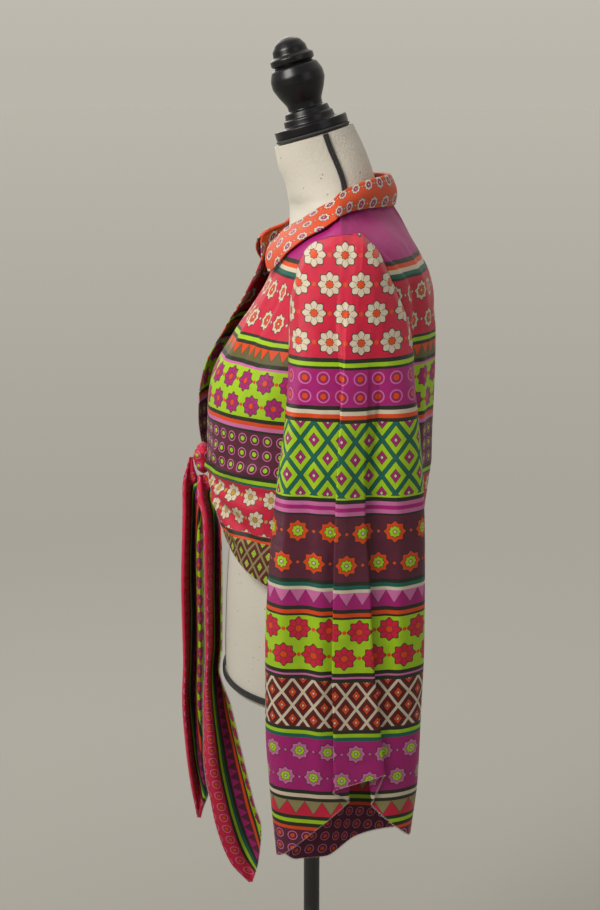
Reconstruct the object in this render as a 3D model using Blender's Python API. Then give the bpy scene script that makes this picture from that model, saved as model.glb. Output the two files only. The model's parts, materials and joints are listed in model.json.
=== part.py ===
"""Tie-front blouse on a limbless dress form: every sewn piece is a wall of its own.

Metres, +Z up, front towards -Y, wearer's left towards +X. The origin is the centre of
the base's underside, on the pole's axis. Round the body an angle is counted from the
front (0) over the wearer's left (90) and the back (180) to the right (270).
"""
import math

import bmesh
import bpy
import numpy as np
from mathutils import Matrix, Vector

# Cloth
CLOTH = 0.0014
COLLAR_CLOTH = 0.0016
SEAM_GAP = 0.0004
SIDE_SEAM = 95.0
SHOULDER_SEAM = 118.0
NECK_EDGE = 9.0
FRONT_EDGE_LOW = 6.5
RIGHT_FRONT_FORWARD = 0.013
METRES_PER_DEGREE = 0.0026

# Stand
BASE_RADIUS = 0.150
BASE_HEIGHT = 0.018
BASE_ROUND = 0.006
POLE_RADIUS = 0.0105
SOCKET_RADIUS = 0.034
SOCKET_HEIGHT = 0.014
FORM_BOTTOM = 0.806
TRIM_HEIGHT = 0.0095
TRIM_DEPTH = 0.0030
TRIM_BOTTOM = 0.811
NECK_TOP = 1.487
NECK_TILT = 16.3
TAPE_WIDTH = 0.0075
TAPE_DEPTH = 0.0016
GAP = 0.0004

# Bust of the form and of the cloth over it
BUST_ACROSS = 0.074
BUST_LEVEL = 1.180
BUST_WIDTH = 0.042
BUST_HEIGHT = 0.055

# Knot and ties
KNOT_CENTRE = Vector((0.0, -0.1365, 1.090))
KNOT_HALF = Vector((0.0210, 0.0125, 0.0230))

LIME = (0.42, 0.70, 0.04)
CRIMSON = (0.62, 0.02, 0.10)
MAGENTA = (0.45, 0.02, 0.30)
PAISLEY = (0.20, 0.03, 0.06)
LINEN = (0.80, 0.77, 0.71)
GLOSS_BLACK = (0.010, 0.010, 0.011)


class Table:
    """Rows with named columns, read as gentle curves of the first column."""

    def __init__(self, columns, rows):
        self.names = columns.split()
        self.rows = np.array(sorted(rows), dtype=float)
        self.keys = self.rows[:, 0]

    def slopes(self, values):
        steps = np.diff(self.keys)
        rises = np.diff(values) / steps
        slopes = np.zeros(len(values))
        slopes[0] = rises[0]
        slopes[-1] = rises[-1]
        for i in range(1, len(values) - 1):
            if rises[i - 1] * rises[i] > 0:
                before = 2 * steps[i] + steps[i - 1]
                after = steps[i] + 2 * steps[i - 1]
                slopes[i] = (before + after) / (before / rises[i - 1] + after / rises[i])
        return slopes

    def at(self, name, key):
        values = self.rows[:, self.names.index(name)]
        slopes = self.slopes(values)
        key = np.clip(key, self.keys[0], self.keys[-1])
        i = np.clip(np.searchsorted(self.keys, key) - 1, 0, len(values) - 2)
        step = self.keys[i + 1] - self.keys[i]
        u = (key - self.keys[i]) / step
        low = (1 + 2 * u) * (1 - u) ** 2 * values[i] + u * (1 - u) ** 2 * step * slopes[i]
        high = u * u * (3 - 2 * u) * values[i + 1] + u * u * (u - 1) * step * slopes[i + 1]
        return low + high


# The form's level sections: half width, front and back at the middle, centre, and
# how round they are (2 is an ellipse, less is pointed, as over a shoulder)
FORM = Table("z half front back mid round", [
    (1.500, 0.0430, -0.0480, 0.0420, -0.0030, 2.00),
    (1.470, 0.0430, -0.0430, 0.0560, 0.0060, 2.00),
    (1.440, 0.0465, -0.0355, 0.0725, 0.0185, 2.00),
    (1.420, 0.0540, -0.0310, 0.0810, 0.0250, 1.80),
    (1.411, 0.0630, -0.0295, 0.0855, 0.0270, 1.45),
    (1.4063, 0.0866, -0.0285, 0.0890, 0.0280, 1.15),
    (1.3985, 0.1159, -0.0280, 0.0925, 0.0290, 1.05),
    (1.3895, 0.1459, -0.0280, 0.0965, 0.0300, 1.15),
    (1.3804, 0.1676, -0.0285, 0.1005, 0.0300, 1.40),
    (1.3630, 0.1800, -0.0310, 0.1080, 0.0300, 1.90),
    (1.340, 0.1850, -0.0370, 0.1180, 0.0300, 2.15),
    (1.310, 0.1830, -0.0500, 0.1280, 0.0290, 2.15),
    (1.270, 0.1750, -0.0690, 0.1340, 0.0270, 2.10),
    (1.230, 0.1640, -0.0870, 0.1340, 0.0240, 2.10),
    (1.180, 0.1530, -0.0990, 0.1280, 0.0200, 2.10),
    (1.120, 0.1360, -0.1000, 0.1100, 0.0160, 2.05),
    (1.040, 0.1190, -0.0970, 0.0920, 0.0100, 2.05),
    (0.980, 0.1300, -0.1050, 0.0980, 0.0080, 2.10),
    (0.900, 0.1490, -0.1100, 0.1200, 0.0080, 2.05),
    (0.840, 0.1540, -0.1115, 0.1230, 0.0080, 2.00),
    (0.800, 0.1530, -0.1105, 0.1210, 0.0080, 2.00),
])

# The form's rings: how many points round and at which levels
FORM_AROUND = 28
FORM_LEVELS = [
    NECK_TOP, 1.465, 1.445, 1.430, 1.418, 1.411, 1.404, 1.396, 1.387, 1.378, 1.370,
    1.358, 1.340, 1.310, 1.280, 1.250, 1.220, 1.190, 1.160, 1.130, 1.100, 1.060,
    1.020, 0.980, 0.940, 0.900, 0.860, 0.826, FORM_BOTTOM,
]

# The blouse's level sections, on the same centres
BLOUSE = Table("z half front back", [
    (1.4320, 0.0540, -0.0370, 0.0810),
    (1.4240, 0.0610, -0.0370, 0.0860),
    (1.4160, 0.0720, -0.0370, 0.0905),
    (1.4090, 0.0960, -0.0370, 0.0945),
    (1.4010, 0.1240, -0.0370, 0.0985),
    (1.3920, 0.1540, -0.0370, 0.1040),
    (1.3830, 0.1760, -0.0380, 0.1090),
    (1.3670, 0.1880, -0.0400, 0.1175),
    (1.3450, 0.1925, -0.0450, 0.1310),
    (1.3240, 0.1915, -0.0530, 0.1410),
    (1.2960, 0.1870, -0.0680, 0.1465),
    (1.2510, 0.1790, -0.0970, 0.1480),
    (1.2000, 0.1710, -0.1230, 0.1480),
    (1.1640, 0.1650, -0.1290, 0.1480),
    (1.1050, 0.1570, -0.1310, 0.1475),
    (1.0670, 0.1530, -0.1290, 0.1430),
    (1.0300, 0.1510, -0.1240, 0.1390),
    (0.9400, 0.1540, -0.1150, 0.1360),
])

# Where the blouse begins at the neck and ends at the hem
EDGES = Table("degrees neck hem", [
    (0.0, 1.3150, 1.0820),
    (9.0, 1.3320, 1.0640),
    (21.0, 1.3590, 1.0280),
    (31.0, 1.3760, 1.0030),
    (43.0, 1.3870, 0.9820),
    (65.0, 1.4010, 0.9620),
    (95.0, 1.4095, 0.9490),
    (135.0, 1.4135, 0.9460),
    (180.0, 1.4140, 0.9450),
])

# The armhole from the shoulder (turn 0) to the armpit (0.5), over the front and back
ARMHOLE_FRONT = Table("turn degrees z", [
    (0.000, 118.0, 1.3840), (0.025, 102.0, 1.3852), (0.055, 80.0, 1.3835),
    (0.085, 61.0, 1.3770), (0.125, 52.5, 1.3600), (0.155, 50.5, 1.3446),
    (0.195, 50.8, 1.3226), (0.240, 55.0, 1.3000), (0.300, 62.5, 1.2700),
    (0.365, 73.0, 1.2360), (0.430, 84.0, 1.2100), (0.470, 90.0, 1.1990),
    (0.500, 95.0, 1.1950),
])
ARMHOLE_BACK = Table("turn degrees z", [
    (0.000, 118.0, 1.3840), (0.063, 119.6, 1.3600),
    (0.094, 119.8, 1.3450), (0.139, 122.4, 1.3226), (0.184, 127.4, 1.3000),
    (0.240, 133.0, 1.2700), (0.285, 135.0, 1.2450), (0.334, 131.0, 1.2200),
    (0.370, 122.0, 1.2070), (0.428, 107.0, 1.1970), (0.500, 95.0, 1.1950),
])

# Where the rows that end on the armhole start, down the opening edge
OPENING = Table("turn share", [
    (0.00, 0.060), (0.09, 0.090), (0.14, 0.117), (0.18, 0.160), (0.32, 0.350), (0.50, 0.547),
])

# Folds on the body: from and to (degrees, level), rise (minus is a trough), half width
BODY_FOLDS = [
    (8, 1.085, 46, 1.140, 0.0035, 0.0070),
    (8, 1.080, 66, 1.108, 0.0040, 0.0060),
    (9, 1.076, 70, 1.072, -0.0035, 0.0060),
    (10, 1.072, 64, 1.046, 0.0045, 0.0065),
    (12, 1.064, 60, 1.016, -0.0030, 0.0060),
    (14, 1.056, 56, 0.994, 0.0030, 0.0070),
    (30, 1.330, 20, 1.160, 0.0030, 0.0120),
    (140, 1.340, 142, 1.060, -0.0060, 0.0130),
    (128, 1.240, 124, 0.990, 0.0040, 0.0130),
    (160, 1.300, 166, 0.980, 0.0035, 0.0150),
]

# The collar round half the neck: height of its stand, how far its fold stands forward
# or out, and the angle and level of the leaf's free edge
COLLAR = Table("degrees rise forward out edge_degrees edge_z", [
    (9.0, 0.0320, 0.0110, 0.0020, 21.0, 1.3290),
    (14.0, 0.0290, 0.0060, 0.0020, 27.0, 1.3400),
    (21.0, 0.0245, 0.0020, 0.0020, 34.0, 1.3520),
    (31.0, 0.0190, 0.0000, 0.0030, 43.0, 1.3640),
    (43.0, 0.0135, 0.0000, 0.0035, 55.0, 1.3780),
    (65.0, 0.0125, 0.0000, 0.0035, 75.0, 1.3930),
    (95.0, 0.0150, 0.0000, 0.0035, 98.0, 1.3995),
    (135.0, 0.0250, 0.0000, 0.0025, 135.0, 1.4035),
    (180.0, 0.0270, 0.0000, 0.0010, 180.0, 1.4035),
])

# The sleeve down its length: edges seen from the side, inner and outer face, pleat
SLEEVE = Table("share front back inner outer right", [
    (0.00, -0.0290, 0.1140, 0.1800, 0.1900, 0.560),
    (0.04, -0.0290, 0.1140, 0.1800, 0.2020, 0.560),
    (0.10, -0.0290, 0.1150, 0.1805, 0.2190, 0.560),
    (0.20, -0.0325, 0.1190, 0.1810, 0.2370, 0.560),
    (0.30, -0.0410, 0.1235, 0.1810, 0.2440, 0.570),
    (0.45, -0.0500, 0.1260, 0.1810, 0.2500, 0.592),
    (0.60, -0.0550, 0.1266, 0.1825, 0.2540, 0.635),
    (0.75, -0.0550, 0.1240, 0.1845, 0.2570, 0.670),
    (0.88, -0.0500, 0.1215, 0.1865, 0.2590, 0.715),
    (1.00, -0.0430, 0.1140, 0.1880, 0.2600, 0.785),
])
LEFT_FOLD = 0.430
UNDER_REACH = 0.095
LAYER = 0.0038
TURN = 0.30
SQUARENESS = 2.5
LEFT_LIFT = (0.06, 0.20)
LEFT_PLEAT = (0.12, 0.44)
RIGHT_LIFT = (0.16, 0.32)
RIGHT_PLEAT = (0.24, 0.60)
SLEEVE_OUT = 0.030
SLEEVE_LAG = 0.012
ARMHOLE_MIDDLE = 1.300
SLEEVE_SHARES = (0, 0.012, 0.04, 0.08, 0.13, 0.19, 0.26, 0.34, 0.43, 0.53, 0.63, 0.73, 0.82, 0.91, 1)

# Runs of the sleeve's outer face, front to back: points, end when plain, fold it is
# tied to, share added to that fold, layer at its end, bulge of its turn, hem level
SLEEVE_RUNS = [
    ("front piece", 7, 0.36, "left", UNDER_REACH, -1, 0, 0.742),
    ("under turn", 2, 0.38, "left", UNDER_REACH, -0.25, 1, 0.748),
    ("left return", 1, 0.42, "left", 0.0, 0.25, 0, 0.757),
    ("left fold", 2, 0.44, "left", 0.0, 1, -1, 0.762),
    ("middle panel", 4, 0.60, "right", 0.0, 1, 0, 0.778),
    ("right fold", 2, 0.62, "right", 0.0, 0.25, 1, 0.776),
    ("right return", 1, 0.66, "right", -0.075, -0.25, 0, 0.745),
    ("inner turn", 2, 0.68, "right", -0.075, -1, -1, 0.738),
    ("back piece", 6, 1.00, "back", 0.0, 0, 0, 0.692),
]
INNER_POINTS = 8
INNER_HEM = Table("across hem", [(0.0, 0.664), (0.15, 0.641), (0.35, 0.641), (0.6, 0.668), (1.0, 0.690)])
FRONT_HEM = 0.665

# The two ties as they hang: front and back edge, centre across, depth of their waves
TIE_LEFT = Table("z front back across wave", [
    (1.0690, -0.1440, -0.1330, 0.0050, 0.0010),
    (1.0450, -0.1440, -0.1210, 0.0140, 0.0080),
    (1.0200, -0.1370, -0.1155, 0.0200, 0.0120),
    (0.9500, -0.1350, -0.1135, 0.0230, 0.0150),
    (0.8500, -0.1350, -0.1145, 0.0240, 0.0150),
    (0.8200, -0.1360, -0.1180, 0.0240, 0.0150),
    (0.7700, -0.1390, -0.1040, 0.0240, 0.0150),
    (0.7000, -0.1390, -0.0890, 0.0250, 0.0130),
    (0.6300, -0.1300, -0.0740, 0.0250, 0.0100),
    (0.5990, -0.1240, -0.0660, 0.0250, 0.0080),
    (0.5500, -0.1070, -0.0700, 0.0250, 0.0040),
    (0.5200, -0.0830, -0.0780, 0.0250, 0.0000),
])
TIE_RIGHT = Table("z front back across wave", [
    (1.0900, -0.1540, -0.1508, -0.0030, 0.0004),
    (1.0760, -0.1580, -0.1490, -0.0050, 0.0010),
    (1.0600, -0.1625, -0.1440, -0.0080, 0.0030),
    (1.0450, -0.1640, -0.1390, -0.0120, 0.0080),
    (1.0200, -0.1645, -0.1375, -0.0180, 0.0120),
    (0.9070, -0.1680, -0.1370, -0.0200, 0.0150),
    (0.8200, -0.1670, -0.1385, -0.0200, 0.0150),
    (0.7590, -0.1695, -0.1410, -0.0200, 0.0130),
    (0.6820, -0.1650, -0.1410, -0.0190, 0.0100),
    (0.6320, -0.1590, -0.1370, -0.0180, 0.0060),
    (0.6020, -0.1540, -0.1460, -0.0170, 0.0010),
    (0.5920, -0.1530, -0.1480, -0.0170, 0.0000),
])

# The turned neck cap along its axis: radius and height
CAP_PROFILE = [
    (0.0445, 0.0000), (0.0445, 0.0085), (0.0435, 0.0097), (0.0312, 0.0101),
    (0.0302, 0.0180), (0.0278, 0.0192), (0.0262, 0.0263), (0.0208, 0.0275),
    (0.0213, 0.0345), (0.0275, 0.0460), (0.0322, 0.0575), (0.0320, 0.0670),
    (0.0277, 0.0775), (0.0222, 0.0802), (0.0263, 0.0828), (0.0263, 0.0892),
    (0.0212, 0.0924), (0.0203, 0.0996), (0.0155, 0.1070), (0.0083, 0.1115),
]
CAP_TOP = 0.1130


def smooth(low, high, value):
    """From 0 at low to 1 at high, where high may be the smaller number."""
    share = min(1.0, max(0.0, (value - low) / (high - low)))
    return share * share * (3 - 2 * share)


def mix(low, high, share):
    return low + (high - low) * share


def material(name, colour, roughness, metallic=0.0):
    made = bpy.data.materials.new(name)
    made.use_nodes = True
    shader = made.node_tree.nodes["Principled BSDF"]
    shader.inputs["Base Color"].default_value = (*colour, 1.0)
    shader.inputs["Roughness"].default_value = roughness
    shader.inputs["Metallic"].default_value = metallic
    return made


def solid(name, points, faces, finish):
    """One closed mesh object from points and faces, its faces turned outwards."""
    mesh = bpy.data.meshes.new(name)
    shape = bmesh.new()
    corners = [shape.verts.new(point) for point in points]
    for face in faces:
        shape.faces.new([corners[i] for i in face])
    bmesh.ops.recalc_face_normals(shape, faces=shape.faces)
    shape.to_mesh(mesh)
    shape.free()
    mesh.shade_smooth()
    mesh.set_sharp_from_angle(angle=math.radians(50))
    mesh.materials.append(finish)
    made = bpy.data.objects.new(name, mesh)
    bpy.context.scene.collection.objects.link(made)
    return made


def grid_normals(grid, ring):
    """Normals of a grid of points from its neighbours along and across."""
    normals = []
    for j, row in enumerate(grid):
        above = grid[max(j - 1, 0)]
        below = grid[min(j + 1, len(grid) - 1)]
        count = len(row)
        line = []
        for i in range(count):
            left = row[(i - 1) % count] if ring else row[max(i - 1, 0)]
            right = row[(i + 1) % count] if ring else row[min(i + 1, count - 1)]
            line.append((below[i] - above[i]).cross(right - left).normalized())
        normals.append(line)
    return normals


def wall(name, grid, finish, ring=False, normals=None, thickness=CLOTH):
    """A closed wall of even thickness round the grid, which is its middle surface."""
    normals = normals or grid_normals(grid, ring)
    rows = len(grid)
    count = len(grid[0])
    points = []
    for side in (0.5, -0.5):
        for row, line in zip(grid, normals):
            points += [point + normal * thickness * side for point, normal in zip(row, line)]

    def corner(side, j, i):
        return side * rows * count + j * count + i % count

    faces = []
    across = count if ring else count - 1
    for side in (0, 1):
        for j in range(rows - 1):
            for i in range(across):
                quad = [corner(side, j, i), corner(side, j, i + 1),
                        corner(side, j + 1, i + 1), corner(side, j + 1, i)]
                faces += split(points, quad)
    for j in (0, rows - 1):
        for i in range(across):
            faces.append([corner(0, j, i), corner(0, j, i + 1), corner(1, j, i + 1), corner(1, j, i)])
    if not ring:
        for i in (0, count - 1):
            for j in range(rows - 1):
                faces.append([corner(0, j, i), corner(0, j + 1, i), corner(1, j + 1, i), corner(1, j, i)])
    return solid(name, points, faces, finish)


def split(points, quad):
    """Two triangles along the quad's shorter diagonal."""
    a, b, c, d = quad
    if (points[a] - points[c]).length <= (points[b] - points[d]).length:
        return [[a, b, c], [a, c, d]]
    return [[a, b, d], [b, c, d]]


def section_point(table, degrees, z):
    """The point of a level section at an angle round it."""
    angle = math.radians(degrees)
    mid = FORM.at("mid", z)
    power = 2 / FORM.at("round", z)
    ahead = math.cos(angle)
    aside = math.sin(angle)
    reach = mid - table.at("front", z) if ahead > 0 else table.at("back", z) - mid
    across = table.at("half", z) * math.copysign(abs(aside) ** power, aside)
    along = reach * math.copysign(abs(ahead) ** power, ahead)
    return Vector((across, mid - along, z))


def bust(point, rise):
    """How far a bust stands forward at this point."""
    across = (abs(point.x) - BUST_ACROSS) / BUST_WIDTH
    up = (point.z - BUST_LEVEL) / BUST_HEIGHT
    return rise * math.exp(-across * across - up * up)


def form_point(degrees, z):
    point = section_point(FORM, degrees, z)
    if math.cos(math.radians(degrees)) > 0:
        point.y -= bust(point, 0.010)
    tilt = smooth(1.425, 1.470, z) * math.tan(math.radians(NECK_TILT))
    point.z += (point.y - FORM.at("mid", z)) * tilt
    return point


class Meridians:
    """Levels down the blouse at even shares of its length, for each angle."""

    DEGREES = np.linspace(0, 180, 121)
    SHARES = np.linspace(0, 1, 81)

    def __init__(self):
        self.levels = np.array([self.levels_at(degrees) for degrees in self.DEGREES])

    def down(self, degrees):
        top = EDGES.at("neck", degrees)
        low = EDGES.at("hem", degrees)
        levels = np.linspace(top, low, 161)
        angle = math.radians(degrees)
        mid = FORM.at("mid", levels)
        power = 2 / FORM.at("round", levels)
        front = mid - BLOUSE.at("front", levels)
        back = BLOUSE.at("back", levels) - mid
        reach = front if math.cos(angle) > 0 else back
        across = BLOUSE.at("half", levels) * abs(math.sin(angle)) ** power
        along = reach * abs(math.cos(angle)) ** power + mid
        steps = np.sqrt(np.diff(across) ** 2 + np.diff(along) ** 2 + np.diff(levels) ** 2)
        return levels, np.concatenate([[0.0], np.cumsum(steps)])

    def levels_at(self, degrees):
        levels, lengths = self.down(degrees)
        return np.interp(self.SHARES * lengths[-1], lengths, levels)

    def level(self, degrees, share):
        column = degrees / 180 * (len(self.DEGREES) - 1)
        row = share * (len(self.SHARES) - 1)
        i = min(int(column), len(self.DEGREES) - 2)
        j = min(max(int(row), 0), len(self.SHARES) - 2)
        u = column - i
        v = row - j
        near = mix(self.levels[i, j], self.levels[i, j + 1], v)
        far = mix(self.levels[i + 1, j], self.levels[i + 1, j + 1], v)
        return float(mix(near, far, u))

    def share_at(self, degrees, z):
        """The share of the length at which this angle reaches a level."""
        column = degrees / 180 * (len(self.DEGREES) - 1)
        i = min(int(column), len(self.DEGREES) - 2)
        levels = mix(self.levels[i], self.levels[i + 1], column - i)
        return float(np.interp(-z, -levels, self.SHARES))


MERIDIANS = Meridians()


def folded_angle(degrees):
    degrees = degrees % 360
    return degrees if degrees <= 180 else 360 - degrees


def fold_rise(degrees, z):
    """Sum of the soft ridges and troughs at this place."""
    rise = 0.0
    here = Vector((degrees * METRES_PER_DEGREE, z))
    for start, start_z, end, end_z, height, width in BODY_FOLDS:
        first = Vector((start * METRES_PER_DEGREE, start_z))
        along = Vector((end * METRES_PER_DEGREE, end_z)) - first
        share = (here - first).dot(along) / along.length_squared
        nearest = first + along * min(1.0, max(0.0, share))
        away = (here - nearest).length / width
        ends = smooth(-0.05, 0.12, share) * (1 - smooth(0.60, 1.05, share))
        rise += height * ends * math.exp(-away * away)
    return rise


def plain_body(degrees, share):
    """The blouse's body before its folds."""
    angle = folded_angle(degrees)
    z = MERIDIANS.level(angle, share)
    point = section_point(BLOUSE, angle, z)
    if angle < 90:
        point.y -= bust(point, 0.005)
    if degrees % 360 > 180:
        point.x = -point.x
        forward = (1 - smooth(10, 60, angle)) * smooth(1.04, 1.14, z) * mix(1.2, 0.95, smooth(1.33, 1.24, z))
        point.y -= RIGHT_FRONT_FORWARD * forward * smooth(1.38, 1.34, z)
    return point


def surface_normal(place, degrees, share):
    step = 0.6
    drop = 0.008
    low = min(max(share, drop), 1 - drop)
    down = place(degrees, low + drop) - place(degrees, low - drop)
    around = place(degrees + step, low) - place(degrees - step, low)
    return down.cross(around).normalized()


def body_point(degrees, share):
    point = plain_body(degrees, share)
    rise = fold_rise(folded_angle(degrees), point.z)
    return point + surface_normal(plain_body, degrees, share) * rise


def body_normal(degrees, share):
    return surface_normal(body_point, degrees, share)


def armhole_place(turn):
    """Angle and share on the armhole: turn runs 0 at the top, to 0.5 at the armpit.

    A minus turn goes over the front, a plus turn over the back.
    """
    edge = ARMHOLE_FRONT if turn < 0 else ARMHOLE_BACK
    degrees = float(edge.at("degrees", abs(turn)))
    return degrees, MERIDIANS.share_at(degrees, float(edge.at("z", abs(turn))))


def seam_rows():
    """Down the shoulder seam, the armhole and the side seam: share and armhole turn."""
    tip = armhole_place(0.0)[1]
    pit = armhole_place(0.5)[1]
    rows = [(tip * j / 4, 0.0) for j in range(4)]
    rows += [(None, j / 22) for j in range(12)]
    rows += [(mix(pit, 1.0, j / 7), 0.5) for j in range(1, 8)]
    return rows


def edge_step(degrees, share, distance):
    """The angle that this distance takes round the body at a place."""
    near = body_point(degrees - 0.5, share)
    far = body_point(degrees + 0.5, share)
    return distance / max((far - near).length, 1e-6)


def seam_place(row, way):
    """Angle and share of the front (-1) or back (1) panel's edge at a row."""
    share, turn = row
    degrees, armhole_share = armhole_place(way * turn)
    if share is None:
        share = armhole_share
    elif turn == 0.0:
        degrees = SHOULDER_SEAM
    return degrees + way * edge_step(degrees, share, SEAM_GAP / 2), share


def opening_place(row):
    """Where the row that ends at a place of the seams starts on the opening edge."""
    share, turn = row
    if share is None:
        share = float(OPENING.at("share", turn))
    elif turn == 0.0:
        share *= OPENING.at("share", 0.0) / armhole_place(0.0)[1]
    return mix(NECK_EDGE, FRONT_EDGE_LOW, share), float(share)


def front_panel(name, side, columns, finish):
    grid = []
    normals = []
    for row in seam_rows():
        start = opening_place(row)
        end = seam_place(row, -1)
        points = []
        line = []
        for i in range(columns):
            u = i / (columns - 1)
            degrees = side * mix(start[0], end[0], u)
            share = mix(start[1], end[1], u * u)
            points.append(body_point(degrees, share))
            line.append(body_normal(degrees, share))
        grid.append(points)
        normals.append(line)
    return wall(name, grid, finish, normals=normals)


def back_panel(columns, finish):
    grid = []
    normals = []
    rows = seam_rows()
    for j, row in enumerate(rows):
        edge, edge_share = seam_place(row, 1)
        middle_share = j / (len(rows) - 1)
        points = []
        line = []
        for i in range(columns):
            u = i / (columns - 1)
            degrees = mix(edge, 360 - edge, u)
            share = mix(middle_share, edge_share, (2 * u - 1) ** 2)
            points.append(body_point(degrees, share))
            line.append(body_normal(degrees, share))
        grid.append(points)
        normals.append(line)
    return wall("back", grid, finish, normals=normals)


def build_body(finishes):
    front_panel("front_left", 1, 13, finishes["crimson"])
    front_panel("front_right", -1, 13, finishes["lime"])
    back_panel(19, finishes["paisley"])


def armhole_point(turn, inset, lift):
    """A point of the armhole, moved into the hole and out from the body."""
    step = 0.004
    degrees, share = armhole_place(turn)
    here = body_point(degrees, share)
    start = body_point(*armhole_place(-(0.5 - step) if turn + step > 0.5 else turn - step))
    end = body_point(*armhole_place(0.5 - step if turn + step > 0.5 else turn + step))
    normal = body_normal(degrees, share)
    inward = normal.cross((end - start).normalized())
    centre = body_point(SIDE_SEAM, MERIDIANS.share_at(SIDE_SEAM, ARMHOLE_MIDDLE))
    if inward.dot(centre - here) < 0:
        inward = -inward
    return here + inward * inset + normal * lift


def sleeve_stations(share):
    """Round the sleeve at a share of its length: across, layer, plain across, hem."""
    left = LEFT_FOLD
    right = SLEEVE.at("right", share)
    tied = {"left": left, "right": right, "back": 1.0}
    pleats = {"left": smooth(*LEFT_PLEAT, share), "right": smooth(*RIGHT_PLEAT, share)}
    lifts = {"left": smooth(*LEFT_LIFT, share), "right": smooth(*RIGHT_LIFT, share)}
    radius = TURN * LAYER / (SLEEVE.at("back", share) - SLEEVE.at("front", share))
    places = []
    was = (0.0, 0.0, 0.0, FRONT_HEM)
    for name, count, plain_end, fold, add, layer, bulge, hem in SLEEVE_RUNS:
        side = "left" if name in ("front piece", "under turn", "left return", "left fold") else "right"
        pleat = pleats[side]
        goal = (mix(plain_end, tied[fold] + add, pleat), layer * lifts[side], plain_end, hem)
        for i in range(count):
            u = i / count
            if name == "front piece":
                u = 1 - math.cos(u * math.pi / 2)
            if name == "back piece":
                u = math.sin(u * math.pi / 2)
            across, level, plain, drop = (mix(a, b, u) for a, b in zip(was, goal))
            across += bulge * radius * pleat * math.sin(math.pi * i / count)
            places.append((across, level, plain, drop, 1))
        was = goal
    for i in range(INNER_POINTS):
        across = (1 + math.cos(math.pi * i / INNER_POINTS)) / 2
        places.append((across, 0.0, across, float(INNER_HEM.at("hem", across)), -1))
    return places


def sleeve_point(place, share):
    across, layer, plain, hem, face = place
    front = SLEEVE.at("front", share)
    back = SLEEVE.at("back", share)
    inner = SLEEVE.at("inner", share)
    outer = SLEEVE.at("outer", share)
    lean = math.asin(min(1.0, max(-1.0, 2 * plain - 1))) / (2 * math.pi)
    turn = lean if face > 0 else (0.5 - lean if lean > 0 else -0.5 - lean)
    if abs(abs(turn) - 0.5) < 1e-6:
        turn = 0.5
    start = armhole_point(turn, 0.0017, 0.0006)
    round_off = max(0.0, 1 - abs(2 * across - 1) ** SQUARENESS) ** (1 / SQUARENESS)
    thick = (outer - inner) / 2
    x = (inner + outer) / 2 + face * thick * round_off + layer * LAYER
    y = mix(front, back, across)
    out = smooth(0, SLEEVE_OUT, share)
    drop = max(0.0, (share - SLEEVE_LAG) / (1 - SLEEVE_LAG))
    return Vector((mix(start.x, x, out), mix(start.y, y, smooth(0, 0.20, share)),
                   mix(start.z, hem, drop)))


def build_sleeve(name, side, finish):
    grid = []
    for share in SLEEVE_SHARES:
        row = [sleeve_point(place, share) for place in sleeve_stations(share)]
        grid.append([Vector((point.x * side, point.y, point.z)) for point in row])
    return wall(name, grid, finish, ring=True)


def collar_lines(degrees):
    """Across the collar at an angle: the stand's points and the leaf's points."""
    angle = folded_angle(degrees)
    base = body_point(degrees, 0.0)
    outward = Vector((base.x, base.y - FORM.at("mid", base.z), 0.0)).normalized()
    slope = (base - body_point(degrees, 0.02)).normalized()
    rising = slope.lerp(Vector((0, 0, 1)), smooth(25, 70, angle)).normalized()
    rise = float(COLLAR.at("rise", angle))
    fold = base + rising * rise + outward * float(COLLAR.at("out", angle))
    fold.y -= float(COLLAR.at("forward", angle))
    top = fold - outward * 0.0030 - rising * 0.0040
    foot = base - outward * 0.0010 + rising * 0.0022
    stand = [foot.lerp(top, j / 2) for j in range(3)]

    edge_degrees = float(COLLAR.at("edge_degrees", angle))
    share = MERIDIANS.share_at(edge_degrees, float(COLLAR.at("edge_z", angle)))
    if degrees > 180:
        edge_degrees = 360 - edge_degrees
    edge = body_point(edge_degrees, share) + body_normal(edge_degrees, share) * 0.0052
    over = fold + outward * 0.0016 - rising * 0.0012
    leaf = [top + rising * 0.0009, fold - outward * 0.0020 - rising * 0.0006, fold, over]
    for j in range(1, 5):
        bow = outward * 0.0045 * math.sin(math.pi * j / 4)
        leaf.append(over.lerp(edge, j / 4) + bow)
    return stand, leaf


def build_collar(finishes):
    """The stand rises from the neck edge, and the leaf turns over its top."""
    half = [mix(NECK_EDGE, 180.0, (j / 13) ** 1.4) for j in range(14)]
    around = half + [360.0 - degrees for degrees in reversed(half[:-1])]
    lines = [collar_lines(degrees) for degrees in around]
    wall("collar_stand", [line[0] for line in lines], finishes["magenta"], thickness=COLLAR_CLOTH)
    wall("collar_leaf", [line[1] for line in lines], finishes["lime"], thickness=COLLAR_CLOTH)


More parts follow.
